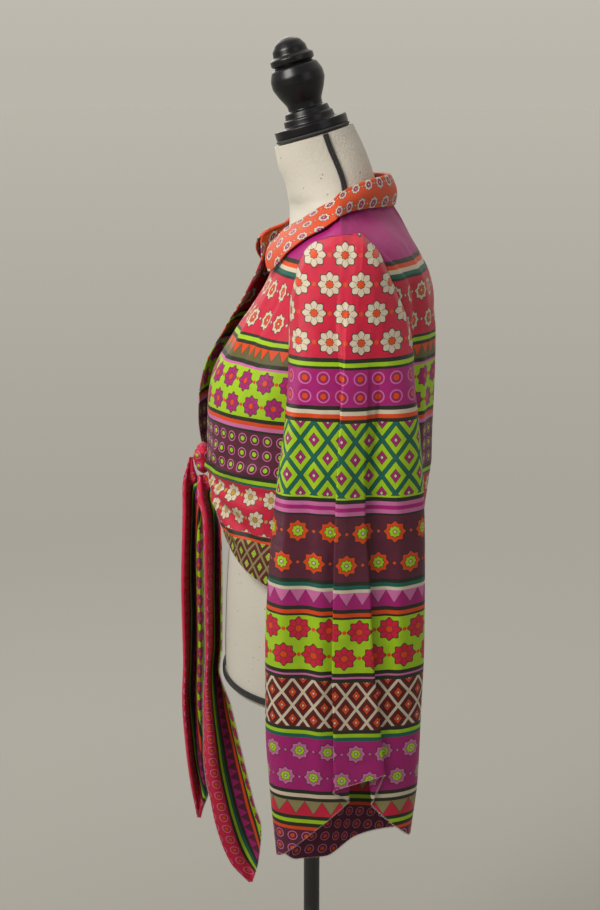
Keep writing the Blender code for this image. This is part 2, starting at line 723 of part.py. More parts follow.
def build_knot(finish):
    """The tied cloth: a rounded lump with a band crossing over it."""
    rings = 11
    around = 18
    points = [KNOT_CENTRE + Vector((0, 0, KNOT_HALF.z))]
    for j in range(1, rings):
        polar = math.pi * j / rings
        for i in range(around):
            turn = 2 * math.pi * i / around
            ray = Vector((math.sin(polar) * math.cos(turn), math.sin(polar) * math.sin(turn),
                          math.cos(polar)))
            band = math.exp(-((ray.z - 0.55 * ray.x) / 0.42) ** 2)
            swell = 0.86 + 0.16 * band + 0.03 * math.cos(5 * turn + 4 * polar)
            points.append(KNOT_CENTRE + Vector(h * r for h, r in zip(KNOT_HALF, ray)) * swell)
    points.append(KNOT_CENTRE - Vector((0, 0, KNOT_HALF.z)))
    faces = [[0, 1 + i, 1 + (i + 1) % around] for i in range(around)]
    for j in range(rings - 2):
        low = 1 + j * around
        for i in range(around):
            after = (i + 1) % around
            quad = [low + i, low + after, low + around + after, low + around + i]
            faces += split(points, quad)
    last = 1 + (rings - 2) * around
    faces += [[last + i, len(points) - 1, last + (i + 1) % around] for i in range(around)]
    return solid("knot", points, faces, finish)


def build_tie(name, table, waves, finish):
    """A hanging tie: rows down its length, waved across its gathered width."""
    columns = 10
    top, tip = table.keys[-1], table.keys[0]
    rows = 15
    grid = []
    for j in range(rows):
        z = mix(top, tip, j / (rows - 1))
        front = float(table.at("front", z))
        back = float(table.at("back", z))
        wave = float(table.at("wave", z))
        across = float(table.at("across", z))
        row = []
        for i in range(columns):
            share = i / (columns - 1)
            bend = math.sin(waves * 2 * math.pi * share + 0.5)
            row.append(Vector((across + wave * bend, mix(front, back, share), z)))
        grid.append(row)
    return wall(name, grid, finish)


def build_form(finish):
    """The covered torso from its neck to its flat underside."""
    points = []
    around = FORM_AROUND
    for z in FORM_LEVELS:
        points += [form_point(360 * i / around, z) for i in range(around)]
    faces = [list(range(around)), list(range(len(points) - around, len(points)))]
    for j in range(len(FORM_LEVELS) - 1):
        for i in range(around):
            after = (i + 1) % around
            low = (j + 1) * around
            faces += split(points, [j * around + i, j * around + after, low + after, low + i])
    return solid("form_body", points, faces, finish)


def neck_frame():
    """The neck's top: its centre and the way the cap's axis points."""
    ring = [form_point(10 * i, NECK_TOP) for i in range(36)]
    centre = sum(ring, Vector()) / len(ring)
    tilt = Matrix.Rotation(math.radians(NECK_TILT), 4, "X")
    return Matrix.Translation(centre) @ tilt


def turned(name, profile, frame, finish, around=24, top=None):
    """A turned solid from (radius, height) pairs, closed at both ends."""
    points = []
    for radius, height in profile:
        for i in range(around):
            turn = 2 * math.pi * i / around
            points.append(frame @ Vector((radius * math.cos(turn), radius * math.sin(turn), height)))
    faces = [list(range(around))]
    for j in range(len(profile) - 1):
        for i in range(around):
            after = (i + 1) % around
            faces.append([j * around + i, j * around + after,
                          (j + 1) * around + after, (j + 1) * around + i])
    last = (len(profile) - 1) * around
    if top is None:
        faces.append([last + i for i in range(around)])
    else:
        points.append(frame @ Vector((0, 0, top)))
        faces += [[last + i, last + (i + 1) % around, len(points) - 1] for i in range(around)]
    return solid(name, points, faces, finish)


def ring_solid(name, centres, outwards, ups, half_out, half_up, finish, closed=True):
    """A band of six-sided section along a line of centres."""
    sides = 6
    points = []
    for centre, outward, up in zip(centres, outwards, ups):
        for k in range(sides):
            turn = 2 * math.pi * k / sides + math.pi / 6
            points.append(centre + outward * math.cos(turn) * half_out + up * math.sin(turn) * half_up)
    count = len(centres)
    faces = []
    for i in range(count if closed else count - 1):
        after = (i + 1) % count
        for k in range(sides):
            beside = (k + 1) % sides
            faces.append([i * sides + k, i * sides + beside, after * sides + beside, after * sides + k])
    if not closed:
        faces.append(list(range(sides)))
        faces.append(list(range((count - 1) * sides, count * sides)))
    return solid(name, points, faces, finish)


def build_neck(finish):
    frame = neck_frame()
    cord = 0.0026
    lifted = frame @ Matrix.Translation((0, 0, 2 * cord + 2 * GAP))
    turned("neck_cap", CAP_PROFILE, lifted, finish, top=CAP_TOP)
    centres, outwards, ups = [], [], []
    up = (frame.to_3x3() @ Vector((0, 0, 1))).normalized()
    for i in range(24):
        turn = 2 * math.pi * i / 24
        outward = frame.to_3x3() @ Vector((math.cos(turn), math.sin(turn), 0))
        centres.append(frame @ Vector((0, 0, cord + GAP)) + outward * 0.0428)
        outwards.append(outward)
        ups.append(up)
    ring_solid("neck_trim", centres, outwards, ups, cord, cord, finish)


def form_frame(degrees, z):
    """A point on the form with the way out and the way down it."""
    here = form_point(degrees, z)
    around = form_point(degrees + 1, z) - form_point(degrees - 1, z)
    down = form_point(degrees, z - 0.002) - form_point(degrees, z + 0.002)
    return here, down.cross(around).normalized(), around.normalized()


def build_trims(finish):
    """The black tapes down the sides and the band round the bottom."""
    levels = [NECK_TOP - 0.001] + FORM_LEVELS[1:-1]
    for name, turn in (("side_tape_left", 1), ("side_tape_right", -1)):
        centres, outwards, ups = [], [], []
        for z in levels:
            degrees = 95 + 11 * smooth(1.36, 1.44, z)
            here, outward, around = form_frame(degrees * turn % 360, z)
            centres.append(here + outward * (GAP + TAPE_DEPTH / 2 + 0.0004))
            outwards.append(outward)
            ups.append(around)
        ring_solid(name, centres, outwards, ups, TAPE_DEPTH / 2 * 1.15, TAPE_WIDTH / 2, finish, False)
    centres, outwards, ups = [], [], []
    middle = TRIM_BOTTOM + TRIM_HEIGHT / 2 - 0.0005
    for i in range(FORM_AROUND):
        here, outward, around = form_frame(360 * i / FORM_AROUND, middle)
        flat = Vector((outward.x, outward.y, 0)).normalized()
        centres.append(here + flat * (GAP + TRIM_DEPTH / 2))
        outwards.append(flat)
        ups.append(Vector((0, 0, 1)))
    ring_solid("bottom_trim", centres, outwards, ups, TRIM_DEPTH / 2, TRIM_HEIGHT / 2, finish)


def build_stand(finish):
    plain = Matrix.Identity(4)
    base = [(BASE_RADIUS - 0.002, 0.0), (BASE_RADIUS, 0.002),
            (BASE_RADIUS, BASE_HEIGHT - BASE_ROUND),
            (BASE_RADIUS - BASE_ROUND * 0.3, BASE_HEIGHT - BASE_ROUND * 0.3),
            (BASE_RADIUS - BASE_ROUND, BASE_HEIGHT), (0.024, BASE_HEIGHT + 0.004),
            (0.020, BASE_HEIGHT + 0.018)]
    turned("base", base, plain, finish, around=36)
    foot = BASE_HEIGHT + 0.018 + GAP
    head = FORM_BOTTOM - SOCKET_HEIGHT - 2 * GAP
    turned("pole", [(POLE_RADIUS, foot), (POLE_RADIUS, head)], plain, finish, around=24)
    low = head + GAP
    socket = [(0.016, low), (0.018, low + 0.006), (SOCKET_RADIUS, low + 0.009),
              (SOCKET_RADIUS, FORM_BOTTOM - GAP)]
    turned("pole_socket", socket, plain, finish, around=24)


def main():
    for old in list(bpy.data.objects):
        bpy.data.objects.remove(old)
    finishes = {
        "lime": material("lime_print", LIME, 0.42),
        "crimson": material("crimson_print", CRIMSON, 0.42),
        "magenta": material("magenta_print", MAGENTA, 0.42),
        "paisley": material("paisley_print", PAISLEY, 0.42),
        "linen": material("form_cover", LINEN, 0.85),
        "black": material("gloss_black", GLOSS_BLACK, 0.18),
    }
    build_form(finishes["linen"])
    build_neck(finishes["black"])
    build_trims(finishes["black"])
    build_stand(finishes["black"])
    build_body(finishes)
    build_sleeve("sleeve_left", 1, finishes["lime"])
    build_sleeve("sleeve_right", -1, finishes["lime"])
    build_collar(finishes)
    build_knot(finishes["magenta"])
    build_tie("tie_left", TIE_LEFT, 1.0, finishes["paisley"])
    build_tie("tie_right", TIE_RIGHT, 1.5, finishes["lime"])


main()
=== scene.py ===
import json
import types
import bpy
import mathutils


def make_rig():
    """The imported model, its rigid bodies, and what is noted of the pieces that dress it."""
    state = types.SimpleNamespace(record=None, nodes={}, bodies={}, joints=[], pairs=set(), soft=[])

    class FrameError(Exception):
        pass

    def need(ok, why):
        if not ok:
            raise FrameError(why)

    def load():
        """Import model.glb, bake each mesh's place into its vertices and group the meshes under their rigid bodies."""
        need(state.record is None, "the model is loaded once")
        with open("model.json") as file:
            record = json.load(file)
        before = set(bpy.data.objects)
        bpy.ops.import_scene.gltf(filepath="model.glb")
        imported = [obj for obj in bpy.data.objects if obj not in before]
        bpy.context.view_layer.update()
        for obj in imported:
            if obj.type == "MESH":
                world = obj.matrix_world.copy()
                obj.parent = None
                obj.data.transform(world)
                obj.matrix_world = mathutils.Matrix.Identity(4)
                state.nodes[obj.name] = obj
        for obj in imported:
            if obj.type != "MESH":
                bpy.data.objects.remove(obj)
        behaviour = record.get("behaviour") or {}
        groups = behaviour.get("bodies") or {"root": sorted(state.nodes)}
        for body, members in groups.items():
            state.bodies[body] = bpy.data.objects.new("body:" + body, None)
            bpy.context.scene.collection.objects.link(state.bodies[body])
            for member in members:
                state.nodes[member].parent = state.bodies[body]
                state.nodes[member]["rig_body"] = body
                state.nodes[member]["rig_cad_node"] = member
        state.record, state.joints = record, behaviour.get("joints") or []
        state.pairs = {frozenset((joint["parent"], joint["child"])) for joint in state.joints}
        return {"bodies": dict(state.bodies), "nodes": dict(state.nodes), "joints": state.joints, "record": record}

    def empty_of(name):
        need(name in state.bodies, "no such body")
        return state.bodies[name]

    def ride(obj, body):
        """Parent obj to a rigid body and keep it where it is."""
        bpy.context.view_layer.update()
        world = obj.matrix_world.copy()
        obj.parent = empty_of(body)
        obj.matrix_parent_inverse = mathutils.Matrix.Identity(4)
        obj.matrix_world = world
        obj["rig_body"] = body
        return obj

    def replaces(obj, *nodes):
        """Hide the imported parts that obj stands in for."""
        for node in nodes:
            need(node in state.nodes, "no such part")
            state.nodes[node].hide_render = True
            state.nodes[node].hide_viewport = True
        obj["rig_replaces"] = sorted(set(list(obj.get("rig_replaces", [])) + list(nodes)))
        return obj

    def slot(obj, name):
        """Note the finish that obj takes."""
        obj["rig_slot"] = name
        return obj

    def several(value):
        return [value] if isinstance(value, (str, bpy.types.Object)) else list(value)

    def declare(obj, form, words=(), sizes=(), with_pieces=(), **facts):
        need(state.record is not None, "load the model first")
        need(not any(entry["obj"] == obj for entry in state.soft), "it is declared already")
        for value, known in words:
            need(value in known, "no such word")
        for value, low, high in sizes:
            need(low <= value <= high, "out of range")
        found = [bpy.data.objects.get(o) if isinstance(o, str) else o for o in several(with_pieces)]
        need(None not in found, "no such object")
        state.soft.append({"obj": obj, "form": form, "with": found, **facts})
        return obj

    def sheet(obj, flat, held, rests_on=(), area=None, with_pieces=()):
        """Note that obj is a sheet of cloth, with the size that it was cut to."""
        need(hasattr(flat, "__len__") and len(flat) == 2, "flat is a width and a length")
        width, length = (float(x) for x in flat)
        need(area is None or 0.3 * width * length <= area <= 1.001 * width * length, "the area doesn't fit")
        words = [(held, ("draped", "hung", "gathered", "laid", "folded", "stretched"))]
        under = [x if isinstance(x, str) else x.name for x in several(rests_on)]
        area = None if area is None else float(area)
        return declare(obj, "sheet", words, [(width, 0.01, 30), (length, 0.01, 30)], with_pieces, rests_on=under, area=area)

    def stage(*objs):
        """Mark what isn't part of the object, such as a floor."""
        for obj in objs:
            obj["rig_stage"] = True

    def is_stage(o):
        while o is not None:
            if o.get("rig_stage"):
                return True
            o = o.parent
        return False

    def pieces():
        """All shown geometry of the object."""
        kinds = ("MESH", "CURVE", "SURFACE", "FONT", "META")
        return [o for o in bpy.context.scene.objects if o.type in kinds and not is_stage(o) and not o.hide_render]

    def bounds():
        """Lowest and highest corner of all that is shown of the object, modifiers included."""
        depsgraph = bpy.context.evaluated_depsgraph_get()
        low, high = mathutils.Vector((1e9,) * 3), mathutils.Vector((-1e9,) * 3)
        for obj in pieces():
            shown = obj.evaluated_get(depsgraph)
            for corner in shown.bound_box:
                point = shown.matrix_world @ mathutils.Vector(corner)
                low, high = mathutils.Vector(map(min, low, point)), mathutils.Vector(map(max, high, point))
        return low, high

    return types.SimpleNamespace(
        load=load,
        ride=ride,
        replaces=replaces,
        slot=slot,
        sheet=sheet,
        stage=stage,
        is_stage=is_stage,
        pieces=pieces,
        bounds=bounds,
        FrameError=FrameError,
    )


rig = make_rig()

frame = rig.load()

import json
import math

import bmesh
import bpy
import numpy as np
from mathutils import Matrix, Vector

CAD_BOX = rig.bounds()

# The camera, as the photograph was taken: the wearer's left side, slightly from above
CAMERA_PLACE = (2.0, -0.0155, 1.570)
CAMERA_DOWN = math.atan(391 / 1640)
PIXELS_PER_SLOPE = 1640.0

# Cloth and seams, in metres
CLOTH = 0.0012
COLLAR_CLOTH = 0.0016
SEAM_GAP = 0.0002
SIDE_SEAM = 95.0
SHOULDER_SEAM = 118.0
NECK_EDGE = 9.0
FRONT_EDGE_LOW = 6.5
RIGHT_FRONT_FORWARD = 0.013
METRES_PER_DEGREE = 0.0026

# Form and stand
BASE_RADIUS = 0.150
BASE_HEIGHT = 0.018
POLE_RADIUS = 0.0105
SOCKET_RADIUS = 0.034
SOCKET_HEIGHT = 0.014
FORM_BOTTOM = 0.806
TRIM_HEIGHT = 0.0095
TRIM_DEPTH = 0.0030
TRIM_BOTTOM = 0.811
NECK_TOP = 1.487
NECK_TILT = 16.3
TAPE_WIDTH = 0.0075
TAPE_DEPTH = 0.0016
GAP = 0.0004

BUST_ACROSS = 0.074
BUST_LEVEL = 1.180
BUST_WIDTH = 0.042
BUST_HEIGHT = 0.055

KNOT_CENTRE = np.array((0.0, -0.1365, 1.090))
KNOT_HALF = np.array((0.0210, 0.0125, 0.0230))
class Table:
    """Rows with named columns, read as gentle curves of the first column."""

    def __init__(self, columns, rows):
        self.names = columns.split()
        self.rows = np.array(sorted(rows), dtype=float)
        self.keys = self.rows[:, 0]

    def slopes(self, values):
        steps = np.diff(self.keys)
        rises = np.diff(values) / steps
        slopes = np.zeros(len(values))
        slopes[0] = rises[0]
        slopes[-1] = rises[-1]
        for i in range(1, len(values) - 1):
            if rises[i - 1] * rises[i] > 0:
                before = 2 * steps[i] + steps[i - 1]
                after = steps[i] + 2 * steps[i - 1]
                slopes[i] = (before + after) / (before / rises[i - 1] + after / rises[i])
        return slopes

    def at(self, name, key):
        values = self.rows[:, self.names.index(name)]
        slopes = self.slopes(values)
        key = np.clip(key, self.keys[0], self.keys[-1])
        i = np.clip(np.searchsorted(self.keys, key) - 1, 0, len(values) - 2)
        step = self.keys[i + 1] - self.keys[i]
        u = (key - self.keys[i]) / step
        low = (1 + 2 * u) * (1 - u) ** 2 * values[i] + u * (1 - u) ** 2 * step * slopes[i]
        high = u * u * (3 - 2 * u) * values[i + 1] + u * u * (u - 1) * step * slopes[i + 1]
        return low + high


# The form's level sections: half width, front and back at the middle, centre, and
# how round they are (2 is an ellipse, less is pointed, as over a shoulder)
FORM = Table("z half front back mid round", [
    (1.500, 0.0430, -0.0480, 0.0420, -0.0030, 2.00),
    (1.470, 0.0430, -0.0430, 0.0560, 0.0060, 2.00),
    (1.440, 0.0465, -0.0355, 0.0725, 0.0185, 2.00),
    (1.420, 0.0540, -0.0310, 0.0810, 0.0250, 1.80),
    (1.411, 0.0630, -0.0295, 0.0855, 0.0270, 1.45),
    (1.4063, 0.0866, -0.0285, 0.0890, 0.0280, 1.15),
    (1.3985, 0.1159, -0.0280, 0.0925, 0.0290, 1.05),
    (1.3895, 0.1459, -0.0280, 0.0965, 0.0300, 1.15),
    (1.3804, 0.1676, -0.0285, 0.1005, 0.0300, 1.40),
    (1.3630, 0.1800, -0.0310, 0.1080, 0.0300, 1.90),
    (1.340, 0.1850, -0.0370, 0.1180, 0.0300, 2.15),
    (1.310, 0.1830, -0.0500, 0.1280, 0.0290, 2.15),
    (1.270, 0.1750, -0.0690, 0.1340, 0.0270, 2.10),
    (1.230, 0.1640, -0.0870, 0.1340, 0.0240, 2.10),
    (1.180, 0.1530, -0.0990, 0.1280, 0.0200, 2.10),
    (1.120, 0.1360, -0.1000, 0.1100, 0.0160, 2.05),
    (1.040, 0.1190, -0.0970, 0.0920, 0.0100, 2.05),
    (0.980, 0.1300, -0.1050, 0.0980, 0.0080, 2.10),
    (0.900, 0.1490, -0.1100, 0.1200, 0.0080, 2.05),
    (0.840, 0.1540, -0.1115, 0.1230, 0.0080, 2.00),
    (0.800, 0.1530, -0.1105, 0.1210, 0.0080, 2.00),
])

# The blouse's level sections, on the same centres
BLOUSE = Table("z half front back", [
    (1.4320, 0.0540, -0.0370, 0.0810),
    (1.4240, 0.0610, -0.0370, 0.0860),
    (1.4160, 0.0720, -0.0370, 0.0905),
    (1.4090, 0.0960, -0.0370, 0.0945),
    (1.4010, 0.1240, -0.0370, 0.0985),
    (1.3920, 0.1540, -0.0370, 0.1040),
    (1.3830, 0.1760, -0.0380, 0.1090),
    (1.3670, 0.1880, -0.0400, 0.1175),
    (1.3450, 0.1925, -0.0450, 0.1310),
    (1.3240, 0.1915, -0.0530, 0.1410),
    (1.2960, 0.1870, -0.0680, 0.1465),
    (1.2510, 0.1790, -0.0970, 0.1480),
    (1.2000, 0.1710, -0.1230, 0.1480),
    (1.1640, 0.1650, -0.1290, 0.1480),
    (1.1050, 0.1570, -0.1310, 0.1475),
    (1.0670, 0.1530, -0.1290, 0.1430),
    (1.0300, 0.1510, -0.1240, 0.1390),
    (0.9400, 0.1540, -0.1150, 0.1360),
])

# Where the blouse begins at the neck and ends at the hem
EDGES = Table("degrees neck hem", [
    (0.0, 1.3150, 1.0820),
    (9.0, 1.3320, 1.0640),
    (21.0, 1.3590, 1.0280),
    (31.0, 1.3760, 1.0030),
    (43.0, 1.3870, 0.9820),
    (65.0, 1.4010, 0.9620),
    (95.0, 1.4095, 0.9490),
    (135.0, 1.4135, 0.9460),
    (180.0, 1.4140, 0.9450),
])

# The armhole from the shoulder (turn 0) to the armpit (0.5), over the front and back
ARMHOLE_FRONT = Table("turn degrees z", [
    (0.000, 118.0, 1.3840), (0.025, 102.0, 1.3852), (0.055, 80.0, 1.3835),
    (0.085, 61.0, 1.3770), (0.125, 52.5, 1.3600), (0.155, 50.5, 1.3446),
    (0.195, 50.8, 1.3226), (0.240, 55.0, 1.3000), (0.300, 62.5, 1.2700),
    (0.365, 73.0, 1.2360), (0.430, 84.0, 1.2100), (0.470, 90.0, 1.1990),
    (0.500, 95.0, 1.1950),
])
ARMHOLE_BACK = Table("turn degrees z", [
    (0.000, 118.0, 1.3840), (0.063, 119.6, 1.3600),
    (0.094, 119.8, 1.3450), (0.139, 122.4, 1.3226), (0.184, 127.4, 1.3000),
    (0.240, 133.0, 1.2700), (0.285, 135.0, 1.2450), (0.334, 131.0, 1.2200),
    (0.370, 122.0, 1.2070), (0.428, 107.0, 1.1970), (0.500, 95.0, 1.1950),
])

# Where the rows that end on the armhole start, down the opening edge
OPENING = Table("turn share", [
    (0.00, 0.060), (0.09, 0.090), (0.14, 0.117), (0.18, 0.160), (0.32, 0.350), (0.50, 0.547),
])

# Folds on the body: from and to (degrees, level), rise (minus is a trough), half width
BODY_FOLDS = [
    (8, 1.085, 46, 1.140, 0.0035, 0.0070),
    (8, 1.080, 66, 1.108, 0.0040, 0.0060),
    (9, 1.076, 70, 1.072, -0.0035, 0.0060),
    (10, 1.072, 64, 1.046, 0.0045, 0.0065),
    (12, 1.064, 60, 1.016, -0.0030, 0.0060),
    (14, 1.056, 56, 0.994, 0.0030, 0.0070),
    (30, 1.330, 20, 1.160, 0.0030, 0.0120),
    (140, 1.340, 142, 1.060, -0.0060, 0.0130),
    (128, 1.240, 124, 0.990, 0.0040, 0.0130),
    (160, 1.300, 166, 0.980, 0.0035, 0.0150),
]

# The collar round half the neck: height of its stand, how far its fold stands forward
# or out, and the angle and level of the leaf's free edge
COLLAR = Table("degrees rise forward out edge_degrees edge_z", [
    (9.0, 0.0320, 0.0110, 0.0020, 21.0, 1.3290),
    (14.0, 0.0290, 0.0060, 0.0020, 27.0, 1.3400),
    (21.0, 0.0245, 0.0020, 0.0020, 34.0, 1.3520),
    (31.0, 0.0190, 0.0000, 0.0030, 43.0, 1.3640),
    (43.0, 0.0135, 0.0000, 0.0035, 55.0, 1.3780),
    (65.0, 0.0125, 0.0000, 0.0035, 75.0, 1.3930),
    (95.0, 0.0150, 0.0000, 0.0035, 98.0, 1.3995),
    (135.0, 0.0250, 0.0000, 0.0025, 135.0, 1.4035),
    (180.0, 0.0270, 0.0000, 0.0010, 180.0, 1.4035),
])

# The sleeve down its length: edges seen from the side, inner and outer face, pleat
SLEEVE = Table("share front back inner outer right", [
    (0.00, -0.0290, 0.1140, 0.1800, 0.1900, 0.560),
    (0.04, -0.0290, 0.1140, 0.1800, 0.2020, 0.560),
    (0.10, -0.0290, 0.1150, 0.1805, 0.2190, 0.560),
    (0.20, -0.0325, 0.1190, 0.1810, 0.2370, 0.560),
    (0.30, -0.0410, 0.1235, 0.1810, 0.2440, 0.570),
    (0.45, -0.0500, 0.1260, 0.1810, 0.2500, 0.592),
    (0.60, -0.0550, 0.1266, 0.1825, 0.2540, 0.635),
    (0.75, -0.0550, 0.1240, 0.1845, 0.2570, 0.670),
    (0.88, -0.0500, 0.1215, 0.1865, 0.2590, 0.715),
    (1.00, -0.0430, 0.1140, 0.1880, 0.2600, 0.785),
])
COLLAR_EASE = 6
LEFT_FOLD = 0.430
UNDER_REACH = 0.095
LAYER = 0.0038
TURN = 0.30
SQUARENESS = 2.5
LEFT_LIFT = (0.06, 0.20)
LEFT_PLEAT = (0.12, 0.44)
RIGHT_LIFT = (0.16, 0.32)
RIGHT_PLEAT = (0.24, 0.60)
SLEEVE_OUT = 0.030
SLEEVE_LAG = 0.012
ARMHOLE_MIDDLE = 1.300

# Runs of the sleeve's outer face, front to back: points, end when plain, fold it is
# tied to, share added to that fold, layer at its end, bulge of its turn, hem level
SLEEVE_RUNS = [
    ("front piece", 46, 0.36, "left", UNDER_REACH, -1, 0, 0.742),
    ("under turn", 8, 0.38, "left", UNDER_REACH, -0.25, 1, 0.748),
    ("left return", 5, 0.42, "left", 0.0, 0.25, 0, 0.757),
    ("left fold", 8, 0.44, "left", 0.0, 1, -1, 0.762),
    ("middle panel", 30, 0.60, "right", 0.0, 1, 0, 0.778),
    ("right fold", 8, 0.62, "right", 0.0, 0.25, 1, 0.776),
    ("right return", 5, 0.66, "right", -0.075, -0.25, 0, 0.745),
    ("inner turn", 8, 0.68, "right", -0.075, -1, -1, 0.738),
    ("back piece", 40, 1.00, "back", 0.0, 0, 0, 0.692),
]
INNER_HEM = Table("across hem", [(0.0, 0.664), (0.15, 0.641), (0.35, 0.641), (0.6, 0.668), (1.0, 0.690)])
FRONT_HEM = 0.665

# The two ties as they hang: front and back edge, centre across, depth of their waves
TIE_LEFT = Table("z front back across wave", [
    (1.0690, -0.1440, -0.1330, 0.0050, 0.0010),
    (1.0450, -0.1440, -0.1210, 0.0140, 0.0080),
    (1.0200, -0.1370, -0.1155, 0.0200, 0.0120),
    (0.9500, -0.1350, -0.1135, 0.0230, 0.0150),
    (0.8500, -0.1350, -0.1145, 0.0240, 0.0150),
    (0.8200, -0.1360, -0.1180, 0.0240, 0.0150),
    (0.7700, -0.1390, -0.1040, 0.0240, 0.0150),
    (0.7000, -0.1390, -0.0890, 0.0250, 0.0130),
    (0.6300, -0.1300, -0.0740, 0.0250, 0.0100),
    (0.5990, -0.1240, -0.0660, 0.0250, 0.0080),
    (0.5500, -0.1070, -0.0700, 0.0250, 0.0040),
    (0.5200, -0.0830, -0.0780, 0.0250, 0.0000),
])
TIE_RIGHT = Table("z front back across wave", [
    (1.0900, -0.1540, -0.1508, -0.0030, 0.0004),
    (1.0760, -0.1580, -0.1490, -0.0050, 0.0010),
    (1.0600, -0.1625, -0.1440, -0.0080, 0.0030),
    (1.0450, -0.1640, -0.1390, -0.0120, 0.0080),
    (1.0200, -0.1645, -0.1375, -0.0180, 0.0120),
    (0.9070, -0.1680, -0.1370, -0.0200, 0.0150),
    (0.8200, -0.1670, -0.1385, -0.0200, 0.0150),
    (0.7590, -0.1695, -0.1410, -0.0200, 0.0130),
    (0.6820, -0.1650, -0.1410, -0.0190, 0.0100),
    (0.6320, -0.1590, -0.1370, -0.0180, 0.0060),
    (0.6020, -0.1540, -0.1460, -0.0170, 0.0010),
    (0.5920, -0.1530, -0.1480, -0.0170, 0.0000),
])

# The turned neck cap along its axis: radius and height
CAP_PROFILE = [
    (0.0445, 0.0000), (0.0445, 0.0085), (0.0435, 0.0097), (0.0312, 0.0101),
    (0.0302, 0.0180), (0.0278, 0.0192), (0.0262, 0.0263), (0.0208, 0.0275),
    (0.0213, 0.0345), (0.0275, 0.0460), (0.0322, 0.0575), (0.0320, 0.0670),
    (0.0277, 0.0775), (0.0222, 0.0802), (0.0263, 0.0828), (0.0263, 0.0892),
    (0.0212, 0.0924), (0.0203, 0.0996), (0.0155, 0.1070), (0.0083, 0.1115),
]
CAP_TOP = 0.1130



# Finer folds over the body's main ones: from and to (degrees, level), rise, half width
SOFT_FOLDS = [
    (20, 1.345, 34, 1.200, 0.0016, 0.0060), (44, 1.330, 36, 1.190, -0.0018, 0.0070),
    (60, 1.290, 44, 1.170, 0.0016, 0.0060), (9, 1.088, 40, 1.118, 0.0016, 0.0035),
    (9, 1.083, 52, 1.095, -0.0014, 0.0032), (9, 1.079, 60, 1.060, 0.0016, 0.0035),
    (12, 1.068, 52, 1.036, -0.0015, 0.0035), (14, 1.060, 50, 1.004, 0.0014, 0.0036),
    (110, 1.395, 135, 1.330, 0.0014, 0.0060), (125, 1.370, 150, 1.300, -0.0014, 0.0070),
    (150, 1.380, 156, 1.200, 0.0014, 0.0080), (172, 1.360, 171, 1.050, -0.0018, 0.0090),
    (132, 1.180, 134, 0.975, -0.0022, 0.0070), (149, 1.250, 152, 0.985, 0.0020, 0.0080),
    (118, 1.170, 116, 0.980, 0.0022, 0.0080), (105, 1.150, 104, 0.975, -0.0016, 0.0070),
    (85, 1.170, 70, 1.060, 0.0018, 0.0070), (80, 1.120, 60, 1.000, -0.0014, 0.0060),
]


def in_metres(folds):
    turn = METRES_PER_DEGREE
    return [(a * turn, b, c * turn, d, rise, width) for a, b, c, d, rise, width in folds]


MAIN_FOLDS = in_metres(BODY_FOLDS)
FINE_FOLDS = in_metres(SOFT_FOLDS)

# Folds down the sleeve: from and to (towards the back, level), rise, half width
SLEEVE_FOLDS = [
    (-0.030, 1.280, -0.038, 0.800, 0.0034, 0.0090), (-0.006, 1.240, -0.012, 0.780, -0.0030, 0.0100),
    (0.030, 1.200, 0.034, 0.850, 0.0028, 0.0120), (0.060, 1.300, 0.070, 0.950, -0.0034, 0.0140),
    (0.095, 1.220, 0.100, 0.800, 0.0040, 0.0140), (0.080, 1.050, 0.088, 0.750, -0.0025, 0.0100),
    (0.010, 1.060, 0.004, 0.720, 0.0022, 0.0080),
]


def smooth(low, high, value):
    """From 0 at low to 1 at high, where high may be the smaller number."""
    share = np.clip((np.asarray(value, dtype=float) - low) / (high - low), 0.0, 1.0)
    return share * share * (3 - 2 * share)


def mix(low, high, share):
    return low + (high - low) * share


def unit(vectors):
    return vectors / np.maximum(np.linalg.norm(vectors, axis=-1, keepdims=True), 1e-12)


def arcs(points):
    """Lengths along the last line of points, from its start."""
    steps = np.linalg.norm(np.diff(points, axis=-2), axis=-1)
    zeros = np.zeros(steps.shape[:-1] + (1,))
    return np.concatenate([zeros, np.cumsum(steps, axis=-1)], axis=-1)


